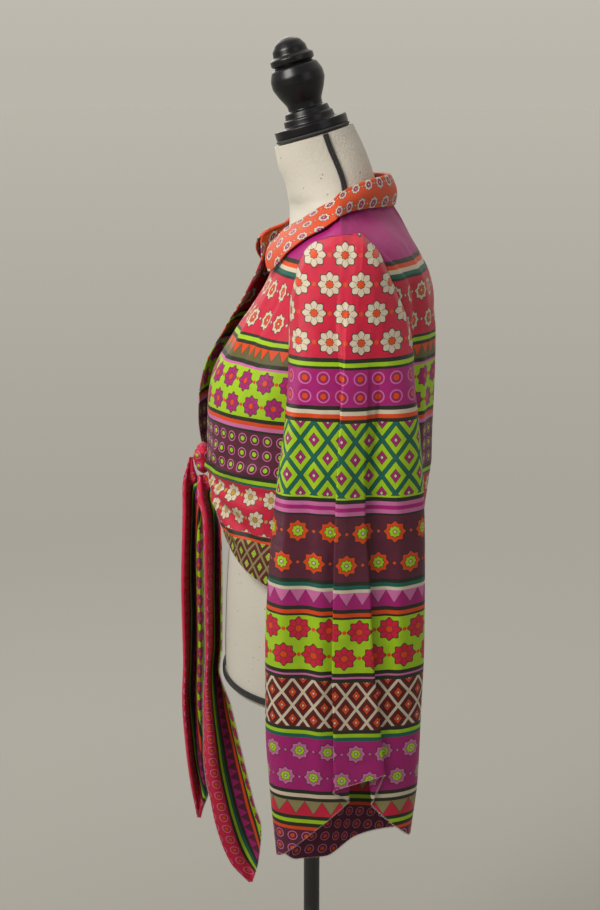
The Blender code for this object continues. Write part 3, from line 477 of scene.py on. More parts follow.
def wall(name, grid, finish, cloth, ring=False, flip=False, thickness=CLOTH):
    """A thin shell round the grid, with its places on the flat cloth in metres.

    cloth has one column more than a ring's grid, where the ring closes.
    """
    if flip:
        cloth = cloth[:, ::-1]
        grid = np.concatenate([grid[:, :1], grid[:, :0:-1]], axis=1) if ring else grid[:, ::-1]
    rows, count = grid.shape[:2]
    down = np.concatenate([grid[:1], grid, grid[-1:]])
    down = down[2:] - down[:-2]
    if ring:
        right = np.roll(grid, -1, axis=1) - np.roll(grid, 1, axis=1)
    else:
        right = np.concatenate([grid[:, :1], grid, grid[:, -1:]], axis=1)
        right = right[:, 2:] - right[:, :-2]
    normals = unit(np.cross(down, right))
    points = np.concatenate([(grid + normals * thickness / 2).reshape(-1, 3),
                             (grid - normals * thickness / 2).reshape(-1, 3)])
    across = count if ring else count - 1
    j, i = (a.ravel() for a in np.meshgrid(np.arange(rows - 1), np.arange(across), indexing="ij"))
    half = rows * count

    def corner(side, j, i):
        return side * half + j * count + i % count

    def place(j, i):
        return j * (count + 1) + i

    quads = [np.stack([corner(0, j, i), corner(0, j + 1, i),
                       corner(0, j + 1, i + 1), corner(0, j, i + 1)], 1),
             np.stack([corner(1, j, i), corner(1, j, i + 1),
                       corner(1, j + 1, i + 1), corner(1, j + 1, i)], 1)]
    places = [np.stack([place(j, i), place(j + 1, i), place(j + 1, i + 1), place(j, i + 1)], 1),
              np.stack([place(j, i), place(j, i + 1), place(j + 1, i + 1), place(j + 1, i)], 1)]
    i = np.arange(across)
    for row, order in ((0, (0, 1, 2, 3)), (rows - 1, (3, 2, 1, 0))):
        quad = np.stack([corner(0, row, i), corner(0, row, i + 1),
                         corner(1, row, i + 1), corner(1, row, i)], 1)
        mark = np.stack([place(row, i), place(row, i + 1), place(row, i + 1), place(row, i)], 1)
        quads.append(quad[:, order])
        places.append(mark[:, order])
    if not ring:
        j = np.arange(rows - 1)
        for column, order in ((0, (0, 1, 2, 3)), (count - 1, (3, 2, 1, 0))):
            quad = np.stack([corner(0, j, column), corner(1, j, column),
                             corner(1, j + 1, column), corner(0, j + 1, column)], 1)
            mark = np.stack([place(j, column), place(j, column),
                             place(j + 1, column), place(j + 1, column)], 1)
            quads.append(quad[:, order])
            places.append(mark[:, order])
    quads = np.concatenate(quads)
    places = np.concatenate(places).ravel()
    mesh = bpy.data.meshes.new(name)
    mesh.from_pydata(points.tolist(), [], quads.tolist())
    if not ring:
        cloth = np.concatenate([cloth, cloth[:, -1:]], axis=1)
    layer = mesh.uv_layers.new(name="cloth")
    layer.data.foreach_set("uv", cloth.reshape(-1, 2)[places].ravel())
    mesh.validate()
    mesh.shade_smooth()
    mesh.set_sharp_from_angle(angle=math.radians(60))
    mesh.materials.append(finish)
    made = bpy.data.objects.new(name, mesh)
    bpy.context.scene.collection.objects.link(made)
    return made


def solid(name, points, faces, finish, sharp=45):
    """One closed mesh object, its faces turned outwards."""
    mesh = bpy.data.meshes.new(name)
    shape = bmesh.new()
    corners = [shape.verts.new(point) for point in points]
    for face in faces:
        shape.faces.new([corners[i] for i in face])
    bmesh.ops.recalc_face_normals(shape, faces=shape.faces)
    shape.to_mesh(mesh)
    shape.free()
    mesh.shade_smooth()
    mesh.set_sharp_from_angle(angle=math.radians(sharp))
    mesh.materials.append(finish)
    made = bpy.data.objects.new(name, mesh)
    bpy.context.scene.collection.objects.link(made)
    return made


# The surface of the body's cloth

def section_point(table, degrees, z):
    """Points of level sections at angles round them."""
    angle = np.radians(degrees)
    mid = FORM.at("mid", z)
    power = 2 / FORM.at("round", z)
    ahead = np.cos(angle)
    aside = np.sin(angle)
    reach = np.where(ahead > 0, mid - table.at("front", z), table.at("back", z) - mid)
    across = table.at("half", z) * np.sign(aside) * np.abs(aside) ** power
    along = reach * np.sign(ahead) * np.abs(ahead) ** power
    return np.stack([across, mid - along, z + 0 * across], axis=-1)


def bust(points, rise):
    """How far a bust stands forward at these points."""
    across = (np.abs(points[..., 0]) - BUST_ACROSS) / BUST_WIDTH
    up = (points[..., 2] - BUST_LEVEL) / BUST_HEIGHT
    return rise * np.exp(-across * across - up * up)


def form_point(degrees, z):
    points = section_point(FORM, degrees, z)
    points[..., 1] -= np.where(np.cos(np.radians(degrees)) > 0, bust(points, 0.010), 0.0)
    tilt = smooth(1.425, 1.470, z) * math.tan(math.radians(NECK_TILT))
    points[..., 2] += (points[..., 1] - FORM.at("mid", z)) * tilt
    return points


class Meridians:
    """Levels down the blouse at even shares of its length, for each angle."""

    DEGREES = np.linspace(0, 180, 121)
    SHARES = np.linspace(0, 1, 81)

    def __init__(self):
        self.levels = np.array([self.levels_at(degrees) for degrees in self.DEGREES])

    def levels_at(self, degrees):
        levels = np.linspace(EDGES.at("neck", degrees), EDGES.at("hem", degrees), 161)
        points = section_point(BLOUSE, np.full(161, degrees), levels)
        lengths = arcs(points)
        return np.interp(self.SHARES * lengths[-1], lengths, levels)

    def level(self, degrees, share):
        column = degrees / 180 * (len(self.DEGREES) - 1)
        row = share * (len(self.SHARES) - 1)
        i = np.clip(column.astype(int), 0, len(self.DEGREES) - 2)
        j = np.clip(row.astype(int), 0, len(self.SHARES) - 2)
        u = column - i
        v = row - j
        near = mix(self.levels[i, j], self.levels[i, j + 1], v)
        far = mix(self.levels[i + 1, j], self.levels[i + 1, j + 1], v)
        return mix(near, far, u)

    def share_at(self, degrees, z):
        """The share of the length at which each angle reaches a level."""
        shares = []
        for angle, level in zip(np.ravel(degrees), np.ravel(z)):
            column = angle / 180 * (len(self.DEGREES) - 1)
            i = min(int(column), len(self.DEGREES) - 2)
            levels = mix(self.levels[i], self.levels[i + 1], column - i)
            shares.append(np.interp(-level, -levels, self.SHARES))
        return np.array(shares)


MERIDIANS = Meridians()


def folded_angle(degrees):
    degrees = degrees % 360
    return np.where(degrees <= 180, degrees, 360 - degrees)


def fold_rise(folds, across, z):
    """Sum of soft ridges and troughs, each along a line from one place to another."""
    rise = np.zeros_like(z)
    for start, start_z, end, end_z, height, width in folds:
        along = (end - start, end_z - start_z)
        length = along[0] ** 2 + along[1] ** 2
        share = ((across - start) * along[0] + (z - start_z) * along[1]) / length
        near = np.clip(share, 0, 1)
        away = np.hypot(across - start - along[0] * near, z - start_z - along[1] * near) / width
        ends = smooth(-0.05, 0.12, share) * (1 - smooth(0.60, 1.05, share))
        rise = rise + height * ends * np.exp(-away * away)
    return rise


def plain_body(degrees, share):
    """The blouse's body before its folds."""
    angle = folded_angle(degrees)
    z = MERIDIANS.level(angle, share)
    points = section_point(BLOUSE, angle, z)
    points[..., 1] -= np.where(angle < 90, bust(points, 0.005), 0.0)
    right = degrees % 360 > 180
    forward = (1 - smooth(10, 60, angle)) * smooth(1.04, 1.14, z)
    forward = forward * mix(1.2, 0.95, smooth(1.33, 1.24, z)) * smooth(1.38, 1.34, z)
    points[..., 1] -= np.where(right, RIGHT_FRONT_FORWARD * forward, 0.0)
    points[..., 0] *= np.where(right, -1, 1)
    return points


def surface_normal(place, degrees, share):
    low = np.clip(share, 0.008, 0.992)
    down = place(degrees, low + 0.008) - place(degrees, low - 0.008)
    around = place(degrees + 0.6, low) - place(degrees - 0.6, low)
    return unit(np.cross(down, around))


def body_point(degrees, share):
    degrees, share = np.broadcast_arrays(np.asarray(degrees, float), np.asarray(share, float))
    points = plain_body(degrees, share)
    angle = folded_angle(degrees)
    side = np.where(degrees % 360 > 180, -1.0, 1.0)
    across = angle * METRES_PER_DEGREE
    rise = fold_rise(MAIN_FOLDS, across, points[..., 2])
    rise = rise + fold_rise(FINE_FOLDS, across + side * 0.004, points[..., 2] + side * 0.003)
    calm = smooth(0.0, 0.06, share) * smooth(1.0, 0.97, share)
    ripple = np.sin(angle * 0.21 + 9 * points[..., 2] + side) * np.sin(angle * 0.083 + 31 * points[..., 2])
    rise = rise + 0.0009 * ripple * calm
    return points + surface_normal(plain_body, degrees, share) * rise[..., None]


def body_normal(degrees, share):
    return surface_normal(body_point, degrees, share)


def armhole_place(turn):
    """Angle and share on the armhole: turn runs 0 at the top, to 0.5 at the armpit."""
    turn = np.asarray(turn, float)
    reach = np.abs(turn)
    degrees = np.where(turn < 0, ARMHOLE_FRONT.at("degrees", reach), ARMHOLE_BACK.at("degrees", reach))
    level = np.where(turn < 0, ARMHOLE_FRONT.at("z", reach), ARMHOLE_BACK.at("z", reach))
    return degrees, MERIDIANS.share_at(degrees, level).reshape(degrees.shape)


def seam_rows():
    """Down the shoulder (0), the armhole (1) and the side (2): share, turn, which, row."""
    tip = float(armhole_place(0.0)[1])
    pit = float(armhole_place(0.5)[1])
    turns = np.concatenate([np.linspace(0, 0.10, 14), np.linspace(0.11, 0.5, 40)])
    top = np.linspace(0, tip, 12)[:-1]
    side = np.linspace(pit, 1, 44)[1:]
    share = np.concatenate([top, armhole_place(turns)[1], side])
    turn = np.concatenate([0 * top, turns, 0 * side + 0.5])
    which = np.concatenate([0 * top, 0 * turns + 1, 0 * side + 2])
    row = np.concatenate([top / tip * 4, 4 + 22 * turns, 15 + (side - pit) / (1 - pit) * 7]) / 22
    return share, turn, which, row


def seam_place(way):
    """Angles and shares down the front (-1) or back (1) panel's edge."""
    share, turn, stage, _ = seam_rows()
    degrees, armhole_share = armhole_place(way * turn)
    share = np.where(stage == 1, armhole_share, share)
    degrees = np.where(stage == 0, SHOULDER_SEAM, np.where(stage == 2, SIDE_SEAM, degrees))
    near = body_point(degrees - 0.5, share)
    far = body_point(degrees + 0.5, share)
    step = SEAM_GAP / 2 / np.maximum(np.linalg.norm(far - near, axis=-1), 1e-5)
    return degrees + way * step, share


class ClothPlaces:
    """How far round and down the body's cloth each place is, in metres."""

    DEGREES = np.linspace(0, 180, 91)
    SHARES = np.linspace(0, 1, 61)

    def __init__(self):
        degrees, share = np.meshgrid(self.DEGREES, self.SHARES, indexing="ij")
        points = body_point(degrees, share)
        self.around = arcs(points.transpose(1, 0, 2)).T
        self.down = arcs(points)

    def at(self, degrees, share, front=False):
        angle = folded_angle(degrees)
        column = angle / 180 * (len(self.DEGREES) - 1)
        row = np.clip(share, 0, 1) * (len(self.SHARES) - 1)
        i = np.clip(column.astype(int), 0, len(self.DEGREES) - 2)
        j = np.clip(row.astype(int), 0, len(self.SHARES) - 2)
        found = []
        for table in (self.around, self.down):
            near = mix(table[i, j], table[i, j + 1], row - j)
            far = mix(table[i + 1, j], table[i + 1, j + 1], row - j)
            found.append(mix(near, far, column - i))
        right = degrees % 360 > 180
        whole = 0.0 if front else 2 * self.around[-1].mean()
        found[0] = np.where(right, whole - found[0], found[0])
        return np.stack([found[0], -found[1]], axis=-1)


CLOTH_PLACES = ClothPlaces()


def build_front(name, side, finish):
    share, turn, stage, _ = seam_rows()
    end, end_share = seam_place(-1)
    top = float(OPENING.at("share", 0.0)) / float(armhole_place(0.0)[1])
    start_share = np.where(stage == 0, share * top,
                           np.where(stage == 1, OPENING.at("share", turn), share))
    start = mix(NECK_EDGE, FRONT_EDGE_LOW, start_share)
    u = np.linspace(0, 1, FRONT_COLUMNS)[None, :]
    degrees = side * mix(start[:, None], end[:, None], u)
    shares = mix(start_share[:, None], end_share[:, None], u * u)
    cloth = CLOTH_PLACES.at(degrees % 360, shares, True)
    cloth[..., 0] -= cloth[:, :1, 0]
    return wall(name, body_point(degrees % 360, shares), finish, cloth, flip=side < 0)


def build_back(finish):
    edge, edge_share = seam_place(1)
    middle = seam_rows()[3]
    u = np.linspace(0, 1, 150)[None, :]
    degrees = mix(edge[:, None], 360 - edge[:, None], u)
    shares = mix(middle[:, None], edge_share[:, None], (2 * u - 1) ** 2)
    return wall("cloth_back", body_point(degrees, shares), finish, CLOTH_PLACES.at(degrees, shares))


# The sleeves

class Armhole:
    """Points just inside the armhole, for any turn."""

    def __init__(self, inset, lift):
        self.turns = np.linspace(-0.5, 0.5, 481)
        degrees, share = armhole_place(self.turns)
        here = body_point(degrees, share)
        before = np.roll(here, 1, axis=0)
        after = np.roll(here, -1, axis=0)
        before[0] = here[-2]
        after[-1] = here[1]
        normal = body_normal(degrees, share)
        inward = unit(np.cross(normal, unit(after - before)))
        centre = body_point(SIDE_SEAM, MERIDIANS.share_at([SIDE_SEAM], [ARMHOLE_MIDDLE])[0])
        sign = np.where(((centre - here) * inward).sum(-1) < 0, -1.0, 1.0)
        self.points = here + inward * sign[:, None] * inset + normal * lift

    def at(self, turn):
        return np.stack([np.interp(turn, self.turns, self.points[:, k]) for k in range(3)], axis=-1)


ARMHOLE = Armhole(0.0012, 0.0004)
INNER_POINTS = 40
SLEEVE_ROWS = np.concatenate([np.linspace(0, 0.04, 7)[:-1], np.linspace(0.04, 0.46, 44),
                              np.linspace(0.47, 1, 46)])
FRONT_COLUMNS = 84
TIE_ROWS = 120
TIE_COLUMNS = 44


def sleeve_stations(share):
    """Round the sleeve at a share of its length: across, layer, plain across, hem, face, run."""
    right = float(SLEEVE.at("right", share))
    tied = {"left": LEFT_FOLD, "right": right, "back": 1.0}
    pleats = {"left": smooth(*LEFT_PLEAT, share), "right": smooth(*RIGHT_PLEAT, share)}
    lifts = {"left": smooth(*LEFT_LIFT, share), "right": smooth(*RIGHT_LIFT, share)}
    radius = TURN * LAYER / float(SLEEVE.at("back", share) - SLEEVE.at("front", share))
    places = []
    was = (0.0, 0.0, 0.0, FRONT_HEM)
    for number, (name, count, plain_end, fold, add, layer, bulge, hem) in enumerate(SLEEVE_RUNS):
        side = "left" if number < 4 else "right"
        goal = (mix(plain_end, tied[fold] + add, pleats[side]), layer * lifts[side], plain_end, hem)
        u = np.arange(count) / count
        v = u
        if name == "front piece":
            v = 1 - np.cos(u * math.pi / 2)
        if name == "back piece":
            v = np.sin(u * math.pi / 2)
        run = np.stack([mix(a, b, v) for a, b in zip(was, goal)], axis=-1)
        run[:, 0] += bulge * radius * pleats[side] * np.sin(math.pi * u)
        places.append(np.column_stack([run, np.ones(count), np.full(count, number)]))
        was = goal
    across = (1 + np.cos(math.pi * np.arange(INNER_POINTS) / INNER_POINTS)) / 2
    ones = np.ones(INNER_POINTS)
    places.append(np.column_stack([across, 0 * ones, across, INNER_HEM.at("hem", across), -ones, 9 * ones]))
    return np.concatenate(places)


def build_sleeve(name, side, finish):
    grid = []
    cloth = []
    for share in SLEEVE_ROWS:
        across, layer, plain, hem, face, run = sleeve_stations(share).T
        front, back, inner, outer = (float(SLEEVE.at(key, share))
                                     for key in ("front", "back", "inner", "outer"))
        lean = np.arcsin(np.clip(2 * plain - 1, -1, 1)) / (2 * math.pi)
        turn = np.where(face > 0, lean, np.where(lean > 0, 0.5 - lean, -0.5 - lean))
        start = ARMHOLE.at(turn)
        round_off = np.maximum(0.0, 1 - np.abs(2 * across - 1) ** SQUARENESS) ** (1 / SQUARENESS)
        thick = (outer - inner) / 2
        out = smooth(0, SLEEVE_OUT, share)
        drop = max(0.0, (share - SLEEVE_LAG) / (1 - SLEEVE_LAG))
        y = mix(start[:, 1], mix(front, back, across), smooth(0, 0.20, share))
        z = mix(start[:, 2], hem, drop)
        hang = smooth(0.05, 0.3, share)
        x = (inner + outer) / 2 + face * thick * round_off + layer * LAYER
        depth = round_off * hang * np.where(face > 0, 1.0, 0.3)
        x = x + face * depth * 1.35 * fold_rise(SLEEVE_FOLDS, y, z)
        x = x + depth * 0.0010 * np.sin(95 * y + 6 * z + 1.3 * side)
        x = mix(start[:, 0], x, out)
        line = np.stack([x * side, y, z], axis=-1)
        grid.append(line)
        lengths = np.append(arcs(line), 0.0)
        lengths[-1] = lengths[-2] + np.linalg.norm(line[0] - line[-1])
        first = int((run < 1).sum())
        last = int((run < 8).sum())
        end = int((run < 9).sum())
        around = np.append(y, 0.0)
        steps = np.diff(np.append(y, y[0]))
        edge = smooth(0.09, 0.0, across)
        steps[:first] = mix(steps[:first], np.diff(lengths)[:first], edge[:first])
        edge = smooth(0.91, 1.0, across)
        steps[last:end] = mix(steps[last:end], np.diff(lengths)[last:end], edge[last:end])
        steps[end:] = np.diff(lengths)[end:]
        sums = np.concatenate([[0.0], np.cumsum(steps[:first])])
        around[:first + 1] = y[first] - sums[-1] + sums
        around[last:] = y[last] + np.concatenate([[0.0], np.cumsum(steps[last:])])
        cloth.append(np.stack([around, np.append(z, z[0])], axis=-1))
    return wall(name, np.array(grid), finish, np.array(cloth), ring=True, flip=side < 0)


# Collar, knot and ties

def collar_lines(degrees):
    """Across the collar at an angle: the stand's points and the leaf's points."""
    angle = float(folded_angle(np.array(degrees)))
    base = body_point(degrees, 0.0)
    outward = unit(np.array((base[0], base[1] - float(FORM.at("mid", base[2])), 0.0)))
    slope = unit(base - body_point(degrees, 0.02))
    rising = unit(mix(slope, np.array((0.0, 0.0, 1.0)), float(smooth(25, 70, angle))))
    fold = base + rising * float(COLLAR.at("rise", angle)) + outward * float(COLLAR.at("out", angle))
    fold[1] -= float(COLLAR.at("forward", angle))
    top = fold - outward * 0.0030 - rising * 0.0040
    foot = base - outward * 0.0010 + rising * 0.0014
    stand = [mix(foot, top, j / 5) for j in range(6)]
    edge_degrees = float(COLLAR.at("edge_degrees", angle))
    share = float(MERIDIANS.share_at([edge_degrees], [float(COLLAR.at("edge_z", angle))])[0])
    edge_degrees = 360 - edge_degrees if degrees > 180 else edge_degrees
    edge = body_point(edge_degrees, share) + body_normal(edge_degrees, share) * 0.0046
    over = fold + outward * 0.0016 - rising * 0.0012
    turn = np.linspace(-0.35 * math.pi, 1.0 * math.pi, 9)
    leaf = [top + rising * 0.0009]
    for angle_here in turn[1:-1]:
        leaf.append(fold - outward * 0.0008 - outward * 0.0022 * math.cos(angle_here)
                    - rising * 0.0012 + rising * 0.0018 * math.sin(angle_here))
    for j in range(15):
        bow = outward * 0.0045 * math.sin(math.pi * j / 14)
        wave = 0.0007 * math.sin(degrees * 0.16 + 1.0) * math.sin(math.pi * j / 28)
        leaf.append(mix(over, edge, j / 14) + bow + outward * wave)
    return np.array(stand), np.array(leaf)


def eased(grid, times):
    """The lines drawn towards their neighbours, with both ends kept."""
    for _ in range(times):
        grid = np.concatenate([grid[:1], (grid[:-2] + 2 * grid[1:-1] + grid[2:]) / 4, grid[-1:]])
    return grid


def build_collar(finishes):
    half = NECK_EDGE + (180.0 - NECK_EDGE) * np.linspace(0, 1, 61) ** 1.4
    around = np.concatenate([half, 360.0 - half[-2::-1]])
    lines = [collar_lines(degrees) for degrees in around]
    made = []
    for name, which, flip in (("cloth_collar_stand", 0, False), ("cloth_collar_leaf", 1, True)):
        grid = eased(np.array([line[which] for line in lines]), COLLAR_EASE)
        middle = grid[:, grid.shape[1] // 2]
        along = np.repeat(arcs(middle)[:, None], grid.shape[1], axis=1)
        cloth = np.stack([along, -arcs(grid)], axis=-1)
        made.append(wall(name, grid, finishes["collar"], cloth, flip=flip, thickness=COLLAR_CLOTH))
    return made


def build_knot(finish):
    """The two ends tied over each other: a rounded lump with bands crossing over it."""
    rings, around = 56, 72
    points = [KNOT_CENTRE + np.array((0, 0, KNOT_HALF[2]))]
    for j in range(1, rings):
        polar = math.pi * j / rings
        for i in range(around):
            turn = 2 * math.pi * i / around
            ray = np.array((math.sin(polar) * math.cos(turn), math.sin(polar) * math.sin(turn),
                            math.cos(polar)))
            lean = ray[2] - 0.55 * ray[0]
            band = math.exp(-(lean / 0.42) ** 2)
            groove = math.exp(-((abs(lean) - 0.52) / 0.10) ** 2)
            pleat = 0.030 * math.cos(16 * lean + 2 * ray[0]) + 0.02 * math.cos(7 * ray[0] - 5 * lean)
            swell = 0.86 + 0.15 * band - 0.07 * groove + pleat * math.sin(polar)
            points.append(KNOT_CENTRE + KNOT_HALF * ray * swell)
    points.append(KNOT_CENTRE - np.array((0, 0, KNOT_HALF[2])))
    faces = [[0, 1 + i, 1 + (i + 1) % around] for i in range(around)]
    for j in range(rings - 2):
        low = 1 + j * around
        for i in range(around):
            after = (i + 1) % around
            faces.append([low + i, low + after, low + around + after, low + around + i])
    last = 1 + (rings - 2) * around
    faces += [[last + i, len(points) - 1, last + (i + 1) % around] for i in range(around)]
    made = solid("cloth_knot", [Vector(point) for point in points], faces, finish, sharp=70)
    corners = np.array([points[loop.vertex_index] for loop in made.data.loops])
    turned = np.arctan2(corners[:, 0], -(corners[:, 1] - KNOT_CENTRE[1])) * 0.018
    layer = made.data.uv_layers.new(name="cloth")
    layer.data.foreach_set("uv", np.column_stack([turned, corners[:, 2] - KNOT_CENTRE[2]]).ravel())
    return made


def build_tie(name, table, waves, seed, finish):
    """A hanging tie: rows down its length, waved across its gathered width."""
    top, tip = table.keys[-1], table.keys[0]
    levels = np.linspace(top, tip, TIE_ROWS)
    share = np.linspace(0, 1, TIE_COLUMNS)
    grid = []
    for z in levels:
        front, back, wave, across = (float(table.at(key, z)) for key in ("front", "back", "wave", "across"))
        bend = np.sin(waves * 2 * math.pi * share + 0.5)
        small = 0.10 * np.sin(5.3 * math.pi * share + 14 * z + seed) + 0.05 * np.sin(11 * share + 40 * z)
        x = across + wave * (bend + small)
        y = mix(front, back, share)
        grid.append(np.stack([x, y, np.full_like(x, z)], axis=-1))
    grid = np.array(grid)
    cloth = np.stack([arcs(grid), np.repeat(grid[:, :1, 2], len(share), axis=1)], axis=-1)
    return wall(name, grid, finish, cloth)


# Finishes

class Wire:
    """One value in a finish: plain arithmetic on it makes the nodes."""

    def __init__(self, finish, socket):
        self.finish = finish
        self.socket = socket

    def __add__(self, other):
        return self.finish.math("ADD", self, other)

    def __sub__(self, other):
        return self.finish.math("SUBTRACT", self, other)

    def __mul__(self, other):
        return self.finish.math("MULTIPLY", self, other)

    def __truediv__(self, other):
        return self.finish.math("DIVIDE", self, other)

    def __rsub__(self, other):
        return self.finish.math("SUBTRACT", other, self)

    def __rtruediv__(self, other):
        return self.finish.math("DIVIDE", other, self)

    def __neg__(self):
        return self * -1

    __radd__ = __add__
    __rmul__ = __mul__

    def change(self, operation, *others):
        return self.finish.math(operation, self, *others)

    def over(self, edge, soft=0.5):
        """0 below the edge and 1 above it, with a short ramp between."""
        links = {0: self, 1: edge - soft, 2: edge + soft}
        return self.finish.node("ShaderNodeMapRange", {"clamp": True}, links)

    def between(self, low, high, soft=0.5):
        return self.over(low, soft) - self.over(high, soft)


class Finish:
    """A material built by plain expressions."""

    def __init__(self, name):
        self.material = bpy.data.materials.new(name)
        self.material.use_nodes = True
        self.tree = self.material.node_tree
        self.tree.nodes.clear()

    def node(self, kind, settings=None, links=None, out=0):
        made = self.tree.nodes.new(kind)
        for key, value in (settings or {}).items():
            setattr(made, key, value)
        for key, value in (links or {}).items():
            if isinstance(value, Wire):
                self.tree.links.new(value.socket, made.inputs[key])
            else:
                made.inputs[key].default_value = value
        return Wire(self, made.outputs[out])

    def math(self, operation, *values):
        return self.node("ShaderNodeMath", {"operation": operation}, dict(enumerate(values)))

    def mix(self, share, low, high):
        low, high = (value if isinstance(value, Wire) else (*value, 1.0) for value in (low, high))
        return self.node("ShaderNodeMix", {"data_type": "RGBA"}, {0: share, 6: low, 7: high}, out=2)

    def parts(self, vector):
        split = self.node("ShaderNodeSeparateXYZ", links={0: vector})
        return [Wire(self, split.socket.node.outputs[k]) for k in range(3)]

    def vector(self, x, y, z=0.0):
        return self.node("ShaderNodeCombineXYZ", links={0: x, 1: y, 2: z})

    def map(self, name):
        """The two coordinates of a named map of the piece."""
        return self.parts(self.node("ShaderNodeUVMap", {"uv_map": name}))[:2]

    def noise(self, vector, scale, detail=2.0):
        return self.node("ShaderNodeTexNoise", {"noise_dimensions": "3D"},
                         {"Vector": vector, "Scale": scale, "Detail": detail})

    def ramp(self, value, stops):
        """Bands of colour: each (start, colour) holds to the next start, in the value's own unit."""
        low, high = stops[0][0], stops[-1][0] + 1e-4
        share = self.node("ShaderNodeMapRange", {"clamp": True}, {0: value, 1: low, 2: high})
        made = self.node("ShaderNodeValToRGB", links={0: share})
        bands = made.socket.node.color_ramp
        bands.interpolation = "CONSTANT"
        for number, (start, colour) in enumerate(stops):
            place = (start - low) / (high - low)
            stop = bands.elements[number] if number < 2 else bands.elements.new(place)
            if number == 1:
                stop.position = place
            stop.color = (*colour, 1.0)
        return made

    def close(self, colour, roughness, bump=None, bump_size=0.0005, **fixed):
        shader = self.node("ShaderNodeBsdfPrincipled", links={"Base Color": colour, "Roughness": roughness})
        made = shader.socket.node
        for key, value in fixed.items():
            made.inputs[key.replace("_", " ")].default_value = value
        if bump is not None:
            normal = self.node("ShaderNodeBump",
                               links={"Height": bump, "Distance": bump_size, "Strength": 1.0})
            self.tree.links.new(normal.socket, made.inputs["Normal"])
        end = self.tree.nodes.new("ShaderNodeOutputMaterial")
        self.tree.links.new(shader.socket, end.inputs["Surface"])
        return self.material


LIME = (0.31, 0.52, 0.006)
CRIMSON = (0.52, 0.007, 0.040)
MAGENTA = (0.33, 0.006, 0.145)
PINK = (0.52, 0.135, 0.33)
ORANGE = (0.62, 0.055, 0.004)
OLIVE = (0.10, 0.095, 0.030)
KHAKI = (0.24, 0.20, 0.085)
DARK_RED = (0.095, 0.004, 0.006)
WINE = (0.085, 0.010, 0.030)
NIGHT = (0.012, 0.017, 0.009)
TEAL = (0.0, 0.105, 0.075)
CREAM = (0.58, 0.50, 0.38)
GOLD = (0.42, 0.27, 0.030)


def cells(s, t, wide, high, stagger=0.5):
    """Places inside staggered cells, across and up from the middle of each."""
    rows = t / high
    row = rows.change("FLOOR")
    columns = s / wide + (row * 0.5).change("FRACT") * (2 * stagger)
    column = columns.change("FLOOR")
    across = (columns - column - 0.5) * wide
    up = (rows - row - 0.5) * high
    return across, up


def spot(across, up, size):
    """How far out from the middle, where 1 is the edge of a spot of this half width."""
    x = across / size
    y = up / size
    return (x * x + y * y).change("SQRT")


def stars(finish, s, t, size, ground, line, heart):
    """Eight-pointed stars of two crossed squares, in half-drop rows with lozenges between."""
    across, up = cells(s, t, size, size)
    x = (across / (size * 0.38)).change("ABSOLUTE")
    y = (up / (size * 0.38)).change("ABSOLUTE")
    edge = (x + y).change("MINIMUM", x.change("MAXIMUM", y) * 1.414)
    colour = finish.ramp(edge, [(0.0, CREAM), (0.14, NIGHT), (0.20, heart), (0.50, NIGHT), (0.56, line),
                                (0.90, NIGHT), (1.0, ground), (1.3, ground)])
    across, up = cells(s + size / 2, t, size, size)
    small = across.change("ABSOLUTE") + up.change("ABSOLUTE")
    lozenge = finish.ramp(small, [(0.0, line), (size * 0.06, NIGHT), (size * 0.10, NIGHT)])
    return finish.mix(1 - small.over(size * 0.09, 0.0002), colour, lozenge)


def daisies(finish, s, t, size, ground, line, heart):
    """Plain daisies of eight petals in half-drop rows, with a dot between each two."""
    across, up = cells(s, t, size, size * 0.9)
    radius = spot(across, up, size * 0.40)
    turn = up.change("ARCTAN2", across)
    edge = radius - (turn * 8).change("COSINE") * radius * 0.11
    colour = finish.ramp(edge, [(0.0, heart), (0.27, NIGHT), (0.32, line), (0.84, NIGHT),
                                (0.92, ground), (1.3, ground)])
    parting = 1 - (turn * 4).change("COSINE").change("ABSOLUTE").over(0.12, 0.04)
    colour = finish.mix(parting * radius.between(0.36, 0.78, 0.02), colour, NIGHT)
    across, up = cells(s + size / 2, t, size, size * 0.9)
    return finish.mix(1 - spot(across, up, size * 0.07).over(1.0, 0.1), colour, heart)


def trellis(finish, s, t, size, ground, line, heart):
    """A diamond lattice, with a smaller diamond in each opening."""
    rising = ((s + t * 0.75) / size).change("FRACT") - 0.5
    falling = ((s - t * 0.75) / size).change("FRACT") - 0.5
    near = rising.change("ABSOLUTE").change("MAXIMUM", falling.change("ABSOLUTE"))
    return finish.ramp(near, [(0.0, CREAM), (0.055, NIGHT), (0.085, heart), (0.18, NIGHT), (0.205, ground),
                              (0.40, NIGHT), (0.42, line), (0.5, line)])


def teeth(finish, s, t, size, ground, line, heart):
    """A row of triangles standing on the band's lower edge."""
    slope = ((s / size).change("FRACT") - 0.5).change("ABSOLUTE") * (size * 1.6)
    return finish.ramp(t - slope, [(-size, line), (0.0, NIGHT), (0.0009, ground), (size, ground)])


def rings(finish, s, t, size, ground, line, heart):
    """Plain spots with a ring round each, in square rows."""
    across, up = cells(s, t, size, size, 0.0)
    return finish.ramp(spot(across, up, size * 0.36), [
        (0.0, heart), (0.46, NIGHT), (0.54, ground), (0.80, line), (1.0, ground), (1.3, ground)])


# A ramp holds 32 colours at most
RAMP_STOPS = 30
REPEATS = {"stars": stars, "daisies": daisies, "trellis": trellis, "teeth": teeth, "rings": rings}


